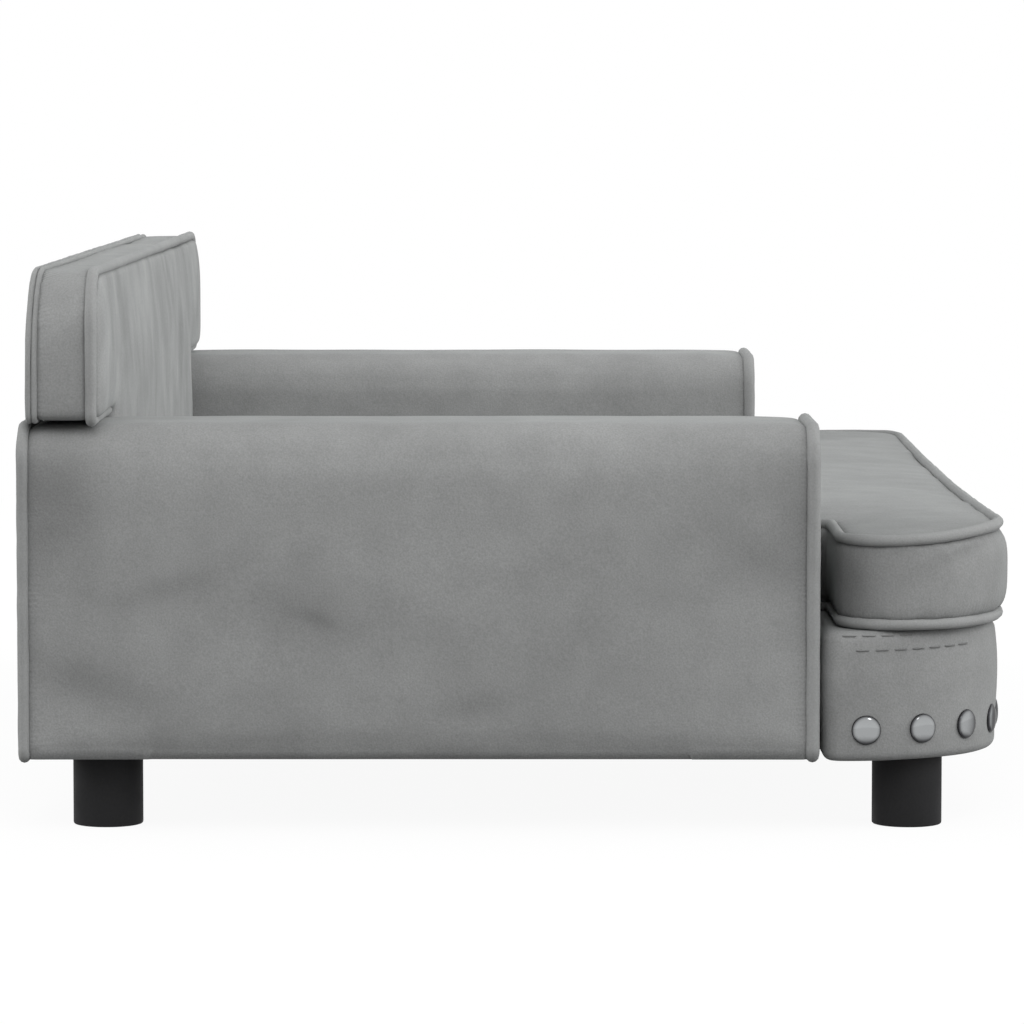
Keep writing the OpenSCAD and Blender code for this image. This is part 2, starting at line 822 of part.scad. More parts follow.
module front_left_leg() { leg(-leg_x, front_leg_y); }
module front_right_leg() { leg(leg_x, front_leg_y); }
module rear_left_leg() { leg(-leg_x, rear_leg_y); }
module rear_right_leg() { leg(leg_x, rear_leg_y); }

base_board();
deck_board();
front_rail();
rear_rail();
side_rails();
cross_ribs();
ear_blocks();
apron_backing();
apron_padding();
apron_cover();
apron_nails();
deck_cloth();
dust_cover();
left_arm_outer_panel();
left_arm_inner_panel();
left_arm_top_board();
left_arm_bottom_board();
left_arm_end_boards();
left_arm_padding();
left_arm_cover();
left_arm_end_covers();
left_arm_piping();
right_arm_outer_panel();
right_arm_inner_panel();
right_arm_top_board();
right_arm_bottom_board();
right_arm_end_boards();
right_arm_padding();
right_arm_cover();
right_arm_end_covers();
right_arm_piping();
back_board();
back_padding();
back_front_cover();
back_boxing();
back_rear_cover();
back_front_piping();
back_rear_piping();
front_left_leg();
front_right_leg();
rear_left_leg();
rear_right_leg();
leg_bolts();
leg_tee_nuts();
arm_bolts();
arm_tee_nuts();
back_bolts();
cushion_foam();
cushion_top_cover();
cushion_boxing();
cushion_bottom_cover();
cushion_top_piping();
cushion_bottom_piping();
cushion_zip();
zip_slider();
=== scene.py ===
"""The dressed dog sofa bed: velvet covers, piping, stitching, nails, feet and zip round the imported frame."""

import math

import bmesh
import bpy
import numpy as np
from mathutils import Matrix, Vector, kdtree, noise


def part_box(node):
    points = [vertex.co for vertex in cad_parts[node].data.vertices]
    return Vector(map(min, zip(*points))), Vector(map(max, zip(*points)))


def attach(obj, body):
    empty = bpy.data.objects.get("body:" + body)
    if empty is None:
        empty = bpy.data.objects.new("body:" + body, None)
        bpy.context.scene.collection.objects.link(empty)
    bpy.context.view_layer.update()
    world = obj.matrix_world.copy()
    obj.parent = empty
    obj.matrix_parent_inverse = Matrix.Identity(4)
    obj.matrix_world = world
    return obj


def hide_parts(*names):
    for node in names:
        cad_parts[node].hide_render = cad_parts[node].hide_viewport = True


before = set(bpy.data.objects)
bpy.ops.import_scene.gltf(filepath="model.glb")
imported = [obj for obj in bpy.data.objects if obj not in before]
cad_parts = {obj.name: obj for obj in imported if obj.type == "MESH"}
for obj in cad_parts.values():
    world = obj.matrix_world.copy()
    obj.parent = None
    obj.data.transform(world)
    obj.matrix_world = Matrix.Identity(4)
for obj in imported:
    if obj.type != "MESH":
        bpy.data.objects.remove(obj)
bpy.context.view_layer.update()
scene = bpy.context.scene

# Sewing and cloth
CORD_D = 0.0062
ARM_FRONT_CORD = 0.0074
TWIN_CORD = 0.0034
TWIN_APART = 0.92
PIPING_PROUD = 0.002
TWIN_PROUD = 0.0009
PIPING_SIDES = 4
POINT_GAP = 0.004
ARC_STEPS = 14
VOXEL = 0.005
CUSHION_VOXEL = 0.006
SEAM_ZONE = 0.0085
PUCKER_W = 0.009
# How wide the painted shade beside each cord is
SEAM_SHADE_W = 0.0011
CLOTH_FRAMES = 20
CLOTH_QUALITY = 4
PRESSURE = 4.0
SLACK = 0.0003

# How deep and how wide each cover is drawn in along its seams, and how high and how far apart its
# puckers are
ARM_SEWING = (0.0008, 0.0042, 0.0004, 0.016)
BACK_SEWING = (0.0006, 0.0040, 0.0005, 0.013)
CUSHION_SEWING = (0.0010, 0.0045, 0.0005, 0.017)

# How wide and how high the soft unevenness of each piece is
PIPING_WAVES = (0.018, 0.0003)
ARM_WAVES = (0.09, 0.0006)
BACK_WAVES = (0.07, 0.0008)
APRON_WAVES = (0.05, 0.0005)
CUSHION_WAVES = (0.06, 0.0007)

# Velvet: how fine each layer of the pile is, and how high it stands
PATCH_SCALE = 9.0
MOTTLE_SCALE = 45.0
TUFT_SCALE = 210.0
GRAIN_SCALE = 1000.0
GRAIN_HEIGHT = 0.00012
TUFT_HEIGHT = 0.00025
PUCKER_HEIGHT = 0.0009
PUCKER_PITCH = 0.0029
# How much the painted shade beside each cord darkens the velvet
SEAM_SHADE_DARK = 0.55

# Arms
ARM_EDGE_R = 0.020
ARM_FOOT_R = 0.0065
ARM_END_SINK = 0.001
ARM_END_RINGS = ((0.0, 0.006), (0.0015, 0.0015), (0.004, 0.0006))
ARM_SIDE_BULGE = 0.0042
ARM_LEAST_BULGE = 0.0008
ARM_TOP_BULGE = 0.0016
ARM_END_BULGE = 0.0012
ARM_INNER_SHARE = 0.4
ARM_UNDER_WING_SHARE = 0.80

# Back
BACK_FRONT_R = 0.027
BACK_REAR_R = 0.060
BACK_FOOT_R = 0.0045
BACK_WING_SAG = 0.0012
BACK_LEAN = 0.0008
BACK_HELD_H = 0.008
BACK_FRONT_BULGE = 0.0048
BACK_REAR_BULGE = 0.0008
BACK_TOP_BULGE = 0.0012
BACK_END_BULGE = 0.0014
# Light and dark stripes on the front of the back, a painted shade of shallow folds: width, height, depth
BACK_FOLD_SHADE_STREAKS = (0.040, 0.050, 0.17)

# Seat base
BASE_CORNER_R = 0.085
BASE_EAR_R = 0.011
BASE_NOTCH_R = 0.002
BASE_REAR_R = 0.012
BASE_ARM_GAP = 0.0018
LEAST_R = 0.001
APRON_FOOT_R = 0.0050
APRON_TOP_R = 0.006
APRON_IN = 0.0011
APRON_DROP = 0.0012
APRON_BULGE = 0.0013
APRON_UNDER_RINGS = ((0.0105, 0.0016), (0.0075, 0.0006))
APRON_FOOT_STEPS = 6
APRON_FACE_STEPS = 14
APRON_TOP_STEPS = 5
APRON_FLAT_AREA = 0.01
# How much the whole apron is darkened, a painted shade
APRON_WHOLE_SHADE = 0.03
NAIL_D = 0.016
NAIL_DOME = 0.0025
NAIL_DOME_STEPS = 8
NAIL_SIDES = 28
NAIL_START = 0.009
NAIL_PITCH = 0.0325
NAIL_Z = 0.056
NAIL_RIM = (0.96, -0.0006)
NAIL_PIN = ((0.001, -0.0006), (0.0008, -0.009), (0.0, -0.0095))
NAIL_REACH = 0.012
STITCH_L = 0.0078
STITCH_GAP = 0.0028
STITCH_SHARES = (0, 0.12, 0.35, 0.65, 0.88, 1)
STITCH_PROUD = 0.0005
STITCH_SINK = 0.0012
THREAD_D = 0.0008
DUST_INSET = 0.014
DUST_GRID = 0.022
DUST_T = 0.0006
DUST_SLACK = 0.0003
DUST_SCALE = 22

# Cushion: each front corner has a radius along X and one along Y, and CUSHION_LIFT is how far the
# near and the far one turn up
CUSHION_NEAR_CORNER = (0.092, 0.0635)
CUSHION_FAR_CORNER = (0.058, 0.062)
CUSHION_EAR_R = 0.033
CUSHION_REAR_R = 0.013
CUSHION_NOTCH_R = 0.007
CUSHION_SIDE_GAP = 0.005
CUSHION_ARM_GAP = 0.009
CUSHION_SEAM_IN = 0.0034
CUSHION_BOW = 0.0010
CUSHION_LEAN = 0.0008
CUSHION_LIFT = (0.0030, 0.0010)
CUSHION_FRONT_LIFT = 0.0006
CUSHION_MOST_LIFT = 0.0042
CUSHION_LIFT_START = 0.19
CUSHION_LIFT_RUN = 0.07
CUSHION_LIFT_HALF = 0.33
CUSHION_RINGS = ((0.008, 0.0006), (0.0034, 0.0016), (0.0016, 0.0045), (0.0006, 0.012))
CUSHION_CROWN = 0.0052
CUSHION_FRONT_BULGE = 0.0030
CUSHION_EAR_BULGE = 0.0012
CUSHION_STEM_BULGE = 0.0008
CUSHION_REAR_BULGE = 0.0020
CUSHION_ZIP_BULGE = 0.0001
CUSHION_FULL = 0.0030
# How much the whole cushion is darkened, a painted shade
CUSHION_WHOLE_SHADE = 0.055

# Zip
ZIP_SPLIT = 0.0006
ZIP_SUNK = 0.0010
ZIP_PROUD = 0.0002
ZIP_TOOTH = (0.0008, 0.0016, 0.0024)
ZIP_EDGE_R = 0.0003
ZIP_TOOTH_PITCH = 0.0026
ZIP_PULL_L = 0.015
ZIP_PULL_W = 0.0062
ZIP_PULL_T = 0.0011
ZIP_PULL_BAR = 0.0018
ZIP_PULL_HOLE = 0.006

# Legs
LEG_D = 0.038
LEG_BEVEL = 0.0012
LEG_SIDES = 64

# Camera: where the photograph was taken from
CAMERA_PLACE = (-3.266, 0.0022, 0.3913)
CAMERA_PITCH = math.radians(4.42)
CAMERA_YAW = math.radians(0.037)
CAMERA_LENS = 186.0
SENSOR_W = 36.0

# Light: how strong each part is, where 1 from all round shows a colour as written
WORLD_LEVEL = 0.76
LAMPS = {"right": (2.15, (0.0, -1.0, 0.25)), "left": (1.35, (0.0, 1.0, 0.25)),
         "top": (1.05, (-0.75, 0.0, 0.66))}
LAMP_SPREAD = math.radians(46)
SPARK = (0.10, (-0.75, -0.45, 0.62), math.radians(13))
GLOSSY_LEVEL = 0.60
FLOOR_SIZE = 14
FLOOR_TONE = 0.9
FLOOR_BOUNCE = 0.26
FLOOR_WHITE = 0.93
FLOOR_FADE = (0.5, 2.0)
FLOOR_GLOSS = 0.50


# Outlines


def rounded(corners, radii, closed=True, gap=POINT_GAP):
    """Points along straight runs joined by quarter bends. A bend has one radius, or one for each run."""
    count = len(corners)
    bends = []
    for i, corner in enumerate(corners):
        if radii[i] == 0:
            bends.append([corner])
            continue
        u = (corner - corners[i - 1]).normalized()
        v = (corners[(i + 1) % count] - corner).normalized()
        before, after = radii[i] if isinstance(radii[i], tuple) else (radii[i], radii[i])
        steps = max(ARC_STEPS, round(max(before, after) * math.pi / 2 / gap))
        turns = [math.pi / 2 * k / steps for k in range(steps + 1)]
        bends.append([corner - u * before * (1 - math.sin(t)) + v * after * (1 - math.cos(t))
                      for t in turns])
    path = []
    for i, bend in enumerate(bends):
        path += bend
        if i == count - 1 and not closed:
            break
        start, end = bend[-1], bends[(i + 1) % count][0]
        steps = max(1, round((end - start).length / gap))
        path += [start.lerp(end, k / steps) for k in range(1, steps)]
    return path


def t_plan(ear_half, stem_half, front, ear_rear, rear, z, radii):
    """The outline of a T in plan, anticlockwise from its front left corner. Each front corner has a
    radius along X and one along Y."""
    points = [(-ear_half, front), (ear_half, front), (ear_half, ear_rear), (stem_half, ear_rear),
              (stem_half, rear), (-stem_half, rear), (-stem_half, ear_rear), (-ear_half, ear_rear)]
    left, right, ear_r, notch_r, rear_r = radii
    bend = [left[::-1], right, ear_r, notch_r, rear_r, rear_r, notch_r, ear_r]
    return rounded([Vector((x, y, z)) for x, y in points], bend)


def upright_box(low, high, y, low_r, high_r):
    """The outline of a rounded rectangle that stands across Y."""
    points = [(low.x, low.z), (high.x, low.z), (high.x, high.z), (low.x, high.z)]
    return rounded([Vector((x, y, z)) for x, z in points], [low_r, low_r, high_r, high_r])


def from_rear(path):
    """A closed path whose join is at the rear or underneath."""
    hidden = max(range(len(path)), key=lambda i: path[i].y - 10 * path[i].z - abs(path[i].x))
    return path[hidden:] + path[:hidden]


def drawn_in(outline, inset, z):
    """An outline in plan moved in along its own normals."""
    count = len(outline)
    ring = []
    for i, p in enumerate(outline):
        along = (outline[(i + 1) % count] - outline[i - 1]).normalized()
        ring.append(Vector((p.x - along.y * inset, p.y + along.x * inset, z)))
    return ring


# Meshes


def finished(name, bm):
    """A new piece from a bmesh."""
    mesh = bpy.data.meshes.new(name)
    bm.to_mesh(mesh)
    bm.free()
    piece = bpy.data.objects.new(name, mesh)
    scene.collection.objects.link(piece)
    return piece


def bridged(rings):
    """A closed form through rings of points, with a flat face at each end."""
    bm = bmesh.new()
    loops = []
    for ring in rings:
        points = [bm.verts.new(p) for p in ring]
        loops.append([bm.edges.new((points[i - 1], points[i])) for i in range(len(points))])
    for near, far in zip(loops, loops[1:]):
        bmesh.ops.bridge_loops(bm, edges=near + far)
    for end in (loops[0], loops[-1]):
        bmesh.ops.contextual_create(bm, geom=end)
    bmesh.ops.recalc_face_normals(bm, faces=bm.faces)
    return bm


def sliced(bm, face, low, high):
    """Cuts a flat face across X and Y into cells that can be moved out of its plane."""
    faces = [face]
    for axis in (0, 1):
        way = Vector((axis == 0, axis == 1, 0))
        for k in range(1, math.ceil((high[axis] - low[axis]) / DUST_GRID)):
            parts = {part for f in faces for part in (*f.edges, *f.verts)}
            made = bmesh.ops.bisect_plane(bm, geom=faces + list(parts), dist=1e-6, plane_no=way,
                                          plane_co=way * (low[axis] + k * DUST_GRID))
            faces = [g for g in made["geom"] if isinstance(g, bmesh.types.BMFace)]
    return faces


def opened(mesh):
    """A bmesh with what is in a mesh."""
    bm = bmesh.new()
    bm.from_mesh(mesh)
    return bm


def result_mesh(obj):
    """The mesh that an object's curve or modifiers give."""
    graph = bpy.context.evaluated_depsgraph_get()
    return bpy.data.meshes.new_from_object(obj.evaluated_get(graph))


def applied(piece):
    """Puts the result of the piece's modifiers in its mesh."""
    mesh = result_mesh(piece)
    piece.modifiers.clear()
    piece.data = mesh
    return piece


def bevelled(bm, edges, radius, segments):
    bmesh.ops.bevel(bm, geom=edges, offset=radius, offset_type="OFFSET", affect="EDGES",
                    segments=segments, profile=0.5, material=-1)


def places(mesh):
    """Where each point is."""
    co = np.empty(len(mesh.vertices) * 3)
    mesh.vertices.foreach_get("co", co)
    return co.reshape(-1, 3)


def directions(mesh):
    """Which way each point faces."""
    out = np.empty(len(mesh.vertices) * 3)
    mesh.vertex_normals.foreach_get("vector", out)
    return out.reshape(-1, 3)


def put(mesh, co):
    """Moves each point to its place."""
    mesh.vertices.foreach_set("co", co.ravel())
    mesh.update()


def keep_value(mesh, name, values):
    """Stores a number for each point."""
    attribute = mesh.attributes.new(name, "FLOAT", "POINT")
    attribute.data.foreach_set("value", np.asarray(values, np.float32))


def seam_table(co, seams):
    """For each point, its distance to the nearest seam and the way along that seam."""
    tree = kdtree.KDTree(sum(len(s) for s in seams))
    ways, points, nexts = [], [], []
    for seam in seams:
        way = 0.0
        for i, p in enumerate(seam):
            way += (p - seam[i - 1]).length if i else 0.0
            tree.insert(p, len(points))
            points.append(p)
            nexts.append(seam[min(i + 1, len(seam) - 1)])
            ways.append(way)
    tree.balance()
    found = [tree.find(p)[1] for p in co]
    near, after = np.array(points)[found], np.array(nexts)[found]
    run = after - near
    length = np.maximum(np.linalg.norm(run, axis=1), 1e-9)
    along = np.clip(((co - near) * run).sum(axis=1) / length, -length, length)
    away = np.linalg.norm(co - near - run * (along / length)[:, None], axis=1)
    return away, np.array(ways)[found] + along


def ripple(way, pitch):
    """A wandering wave along a seam, from -1 to 1."""
    turn = 2 * math.pi * way / pitch
    return (np.sin(turn) + 0.7 * np.sin(turn * 0.618 + 1.3) + 0.5 * np.sin(turn * 1.83 + 2.1)) / 2.2


def swell(piece, seams, reach, voxel=VOXEL, held=None):
    """Remeshes a form, blows it up as cloth between its seams and caps how far it goes. reach gives
    the cap at each point, and held what else is pinned than the seams."""
    remesh = piece.modifiers.new("voxels", "REMESH")
    remesh.mode = "VOXEL"
    remesh.voxel_size = voxel
    applied(piece)
    rest = places(piece.data)
    way_out = directions(piece.data)
    distance, _ = seam_table(rest, seams)
    grip = np.clip(1.6 - distance / (1.3 * voxel), 0, 1)
    if held is not None:
        grip = np.maximum(grip, held(rest, way_out))
    limit = np.maximum(reach(rest, way_out), 1e-6)
    group = piece.vertex_groups.new(name="held")
    for i in np.nonzero(grip > 0)[0]:
        group.add([int(i)], float(grip[i]), "REPLACE")
    cloth = piece.modifiers.new("cloth", "CLOTH")
    cloth.settings.quality = CLOTH_QUALITY
    cloth.settings.vertex_group_mass = group.name
    cloth.settings.use_pressure = True
    cloth.settings.uniform_pressure_force = PRESSURE
    cloth.settings.effector_weights.gravity = 0
    cloth.collision_settings.use_collision = False
    for number in range(1, CLOTH_FRAMES + 1):
        scene.frame_set(number)
    graph = bpy.context.evaluated_depsgraph_get()
    blown = places(piece.evaluated_get(graph).to_mesh())
    piece.modifiers.clear()
    piece.vertex_groups.clear()
    scene.frame_set(1)
    move = blown - rest
    length = np.maximum(np.linalg.norm(move, axis=1), 1e-9)
    move *= (limit * np.tanh(length / limit) / length)[:, None]
    put(piece.data, rest + move)
    smooth = piece.modifiers.new("subdivision", "SUBSURF")
    smooth.levels = smooth.render_levels = 1
    return applied(piece)


def refined(piece, seams):
    """Cuts the mesh finer beside its seams."""
    mesh = piece.data
    near = seam_table(places(mesh), seams)[0] < SEAM_ZONE
    bm = opened(mesh)
    edges = [e for e in bm.edges if near[e.verts[0].index] and near[e.verts[1].index]]
    bmesh.ops.subdivide_edges(bm, edges=edges, cuts=1, use_grid_fill=True)
    bm.to_mesh(mesh)
    bm.free()


def sew(piece, seams, sewing, looks):
    """Draws the cover in along its seams, and stores the seams for the material with a painted shade
    beside the piping. looks gives how strong the puckers and that painted shade are at each point."""
    dip, width, pucker, pitch = sewing
    refined(piece, seams)
    mesh = piece.data
    co, out = places(mesh), directions(mesh)
    distance, way = seam_table(co, seams)
    puckered, shaded = looks(co, out)
    near = np.exp(-((distance / width) ** 2))
    fold = ripple(way, pitch) * np.exp(-((distance / (2.2 * width)) ** 2)) * puckered
    beside = np.maximum(distance - CORD_D / 2, 0)
    keep_value(mesh, "seam", np.exp(-((distance / PUCKER_W) ** 2)) * puckered)
    # Painted shade: a thin darker line in the velvet beside each cord
    keep_value(mesh, "seam_shade", np.exp(-((beside / SEAM_SHADE_W) ** 2)) * shaded)
    keep_value(mesh, "run", way)
    put(mesh, co - out * (dip * near - pucker * fold)[:, None])


def crumple(piece, size, height):
    """Long soft unevenness of a stuffed cover."""
    mesh = piece.data
    co, out = places(mesh), directions(mesh)
    wave = np.array([noise.fractal(Vector(p) / size, 1.0, 2.0, 2) for p in co])
    put(mesh, co + out * (height * wave)[:, None])


def mark_pile_light_and_shade(piece, across, up, marks, facing, streaks=None, whole_shade=0.0):
    """Stores where the colour is painted darker or lighter, as blurred spots in two of the axes on
    the side that is faced: patches of pile, painted shade and painted light. streaks adds uneven light and
    dark stripes of a width, a height and a depth there, a painted shade of shallow folds, and the last
    argument darkens the whole piece, a painted shade."""
    co = places(piece.data)
    depth = np.zeros(len(co))
    if streaks is not None:
        wide, tall, strength = streaks
        at = [Vector((p[across] / wide, p[up] / tall, 0.0)) for p in co]
        depth += strength * np.array([noise.fractal(p, 0.8, 2.0, 3) for p in at])
    for u, v, half_l, half_h, tilt, dark in marks:
        turn = math.radians(tilt)
        du, dv = co[:, across] - u, co[:, up] - v
        along = du * math.cos(turn) + dv * math.sin(turn)
        aside = dv * math.cos(turn) - du * math.sin(turn)
        depth += dark * np.exp(-((along / half_l) ** 2) - (aside / half_h) ** 2)
    depth *= np.clip(directions(piece.data) @ np.array(facing, float), 0, 1)
    # The spots, stripes and whole darkening: patches of pile, with painted light and shade
    keep_value(piece.data, "mark", depth + whole_shade)


def cords(runs, closed, sides):
    """Round cords, each along its path and with its own thickness, as one mesh."""
    curve = bpy.data.curves.new("cords", "CURVE")
    curve.dimensions = "3D"
    curve.bevel_depth = 0.5
    curve.bevel_resolution = sides
    curve.use_fill_caps = not closed
    for path, thickness in runs:
        spline = curve.splines.new("POLY")
        spline.points.add(len(path) - 1)
        for point, p in zip(spline.points, path):
            point.co = (*p, 1.0)
            point.radius = thickness
        spline.use_cyclic_u = closed
    line = bpy.data.objects.new("cords", curve)
    scene.collection.objects.link(line)
    mesh = result_mesh(line)
    bpy.data.objects.remove(line)
    bpy.data.curves.remove(curve)
    bm = opened(mesh)
    bpy.data.meshes.remove(mesh)
    bmesh.ops.recalc_face_normals(bm, faces=bm.faces)
    return bm


def piping(name, runs, closed, body, nodes):
    """Velvet piping, a little lumpy as sewn piping is."""
    piece = finished(name, cords(runs, closed, PIPING_SIDES))
    crumple(piece, *PIPING_WAVES)
    return dress(piece, body, "cord velvet", nodes)


def dress(piece, body, finish, nodes=()):
    """Gives a piece its material and its place in the frame."""
    piece.data.materials.clear()
    piece.data.materials.append(finishes[finish])
    piece.data.polygons.foreach_set("use_smooth", [True] * len(piece.data.polygons))
    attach(piece, body)
    if nodes:
        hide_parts(*nodes)
    return piece


def mirrored(piece, name):
    """The same piece on the other side of the sofa."""
    bm = opened(piece.data)
    bmesh.ops.scale(bm, vec=(-1, 1, 1), verts=bm.verts)
    bmesh.ops.reverse_faces(bm, faces=bm.faces)
    return finished(name, bm)


# Materials


def node(tree, kind, sockets=None, **settings):
    """A node with its settings, and its sockets linked or set."""
    made = tree.nodes.new(kind)
    for key, value in settings.items():
        setattr(made, key, value)
    for key, value in (sockets or {}).items():
        if isinstance(value, bpy.types.NodeSocket):
            tree.links.new(value, made.inputs[key])
        else:
            made.inputs[key].default_value = value
    return made


def maths(tree, operation, *values):
    """The result of a sum on sockets or numbers."""
    return node(tree, "ShaderNodeMath", dict(enumerate(values)), operation=operation).outputs[0]


def shaded_by(tree, colour, level):
    """A colour made lighter or darker by a factor."""
    made = node(tree, "ShaderNodeVectorMath", {0: colour, "Scale": level}, operation="SCALE")
    return made.outputs[0]


def stored(tree, name):
    """A number that the piece's mesh keeps for each point."""
    return node(tree, "ShaderNodeAttribute", attribute_name=name).outputs["Fac"]


def speckle(tree, scale, detail=2.0, stretch=(1, 1, 1)):
    """Noise in the piece's own coordinates, from 0 to 1."""
    where = node(tree, "ShaderNodeTexCoord").outputs["Object"]
    placed = node(tree, "ShaderNodeMapping", {"Vector": where, "Scale": stretch}).outputs[0]
    return node(tree, "ShaderNodeTexNoise", {"Vector": placed, "Scale": scale, "Detail": detail}).outputs[0]


def wander(tree, value, amount):
    """A value of noise turned into a factor round 1."""
    spread = maths(tree, "SUBTRACT", value, 0.5)
    return maths(tree, "MULTIPLY_ADD", spread, amount, 1.0)


def new_group(name, inputs, outputs):
    """A node group, and what it is given and puts out."""
    group = bpy.data.node_groups.new(name, "ShaderNodeTree")
    for label, kind in inputs:
        group.interface.new_socket(label, in_out="INPUT", socket_type=kind)
    for label, kind in outputs:
        group.interface.new_socket(label, in_out="OUTPUT", socket_type=kind)
    return group, node(group, "NodeGroupInput").outputs, node(group, "NodeGroupOutput").inputs


def build_pile():
    """Velvet pile: patches where the pile lies another way, fine grain, stored spots of pile and of painted
    light and shade, painted shade beside the seams, and puckers at seams.
    """
    number, colour = "NodeSocketFloat", "NodeSocketColor"
    group, given, result = new_group(
        "Pile",
        [("Colour", colour), ("Patches", number), ("Grain", number), ("Mark", number),
         ("Seam_shade", number), ("Seam", number), ("Run", number)],
        [("Colour", colour), ("Height", number)])
    broad = speckle(group, PATCH_SCALE, 3.0)
    middle = speckle(group, MOTTLE_SCALE, 3.0)
    fine = speckle(group, GRAIN_SCALE)
    shade = wander(group, broad, given["Patches"])
    mottle = wander(group, middle, maths(group, "MULTIPLY", given["Patches"], 0.7))
    # Besides mottle and grain, the stored spots and the line beside each cord change the colour: painted light
    # and shade
    for factor in (mottle, wander(group, fine, given["Grain"]),
                   maths(group, "SUBTRACT", 1.0, given["Mark"]),
                   maths(group, "MULTIPLY_ADD", given["Seam_shade"], -SEAM_SHADE_DARK, 1.0)):
        shade = maths(group, "MULTIPLY", shade, factor)
    group.links.new(shaded_by(group, given["Colour"], shade), result["Colour"])
    turn = maths(group, "MULTIPLY", given["Run"], 2 * math.pi / PUCKER_PITCH)
    wave = maths(group, "SINE", maths(group, "ADD", turn, maths(group, "MULTIPLY", middle, 9.0)))
    fold = maths(group, "MULTIPLY", maths(group, "MULTIPLY", wave, given["Seam"]),
                 maths(group, "SUBTRACT", middle, 0.3))
    height = maths(group, "MULTIPLY_ADD", fine, GRAIN_HEIGHT,
                   maths(group, "MULTIPLY", fold, PUCKER_HEIGHT))
    height = maths(group, "MULTIPLY_ADD", speckle(group, TUFT_SCALE), TUFT_HEIGHT, height)
    group.links.new(height, result["Height"])
    return group


def build_fibres():
    """Long fibres, as in wood and pressed board."""
    number, colour = "NodeSocketFloat", "NodeSocketColor"
    group, given, result = new_group(
        "Fibres", [("Colour", colour), ("Scale", number), ("Strength", number)],
        [("Colour", colour), ("Height", number)])
    fibre = speckle(group, given["Scale"], 6.0, (0.08, 1.0, 1.0))
    shade = wander(group, fibre, given["Strength"])
    group.links.new(shaded_by(group, given["Colour"], shade), result["Colour"])
    group.links.new(maths(group, "MULTIPLY", fibre, 0.0003), result["Height"])
    return group


def new_finish(name):
    """A material with no nodes yet."""
    material = bpy.data.materials.new(name)
    material.use_nodes = True
    material.node_tree.nodes.clear()
    finishes[name] = material
    return material.node_tree


def surface(tree, colour, height, sockets):
    """The shader with its colour, its bump and the sockets given."""
    bump = node(tree, "ShaderNodeBump", {"Height": height, "Strength": 1.0, "Distance": 1.0}).outputs[0]
    shader = node(tree, "ShaderNodeBsdfPrincipled", {"Base Color": colour, "Normal": bump, **sockets})
    node(tree, "ShaderNodeOutputMaterial", {"Surface": shader.outputs[0]})


def grouped(tree, group, given, sockets):
    """The shader with the colour and the bump of a group."""
    made = node(tree, "ShaderNodeGroup", given, node_tree=group)
    surface(tree, made.outputs["Colour"], made.outputs["Height"], sockets)


def velvet(name, colour, patches, grain, pile):
    tree = new_finish(name)
    given = {"Colour": colour, "Patches": patches, "Grain": grain}
    for key in ("Mark", "Seam_shade", "Seam", "Run"):
        given[key] = stored(tree, key.lower())
    grouped(tree, pile, given, {
        "Roughness": 0.86, "Specular IOR Level": 0.10, "Sheen Weight": 0.10, "Sheen Roughness": 0.35,
        "Sheen Tint": (0.93, 1.0, 0.99, 1.0)})


def woody(name, colour, scale, strength, roughness, fibres):
    given = {"Colour": colour, "Scale": scale, "Strength": strength}
    grouped(new_finish(name), fibres, given, {"Roughness": roughness})


def speckled(name, colour, scale, strength, height, roughness=0.5, metallic=0.0, specular=0.5):
    """Moulded plastic, metal or plain cloth with a fine uneven surface."""
    tree = new_finish(name)
    fine = speckle(tree, scale, 3.0)
    tone = shaded_by(tree, colour, wander(tree, fine, strength))
    dull = maths(tree, "MULTIPLY", wander(tree, speckle(tree, scale / 12), 0.5), roughness)
    surface(tree, tone, maths(tree, "MULTIPLY", fine, height),
            {"Roughness": dull, "Metallic": metallic, "Specular IOR Level": specular})


def plated(name, face, edge):
    """Chrome plate whose colour is painted darker towards its edge and where each point's stored value says, a
    painted reflection of the cloth round it and of the shade below.
    """
    tree = new_finish(name)
    turned = node(tree, "ShaderNodeLayerWeight", {"Blend": 0.5}).outputs["Facing"]
    painted_reflection = node(tree, "ShaderNodeMapRange", {"Value": turned, "From Min": 0.30, "From Max": 0.75},
               interpolation_type="SMOOTHSTEP").outputs[0]
    # Painted reflection: darker towards the edge and where the stored value says
    painted_reflection = maths(tree, "MAXIMUM", painted_reflection, stored(tree, "painted_reflection"))
    tone = node(tree, "ShaderNodeMix", {0: painted_reflection, 6: face, 7: edge}, data_type="RGBA").outputs[2]
    fine = speckle(tree, 500.0)
    surface(tree, tone, maths(tree, "MULTIPLY", fine, 0.00002),
            {"Roughness": maths(tree, "MULTIPLY_ADD", fine, 0.10, 0.06), "Metallic": 1.0})


finishes = {}


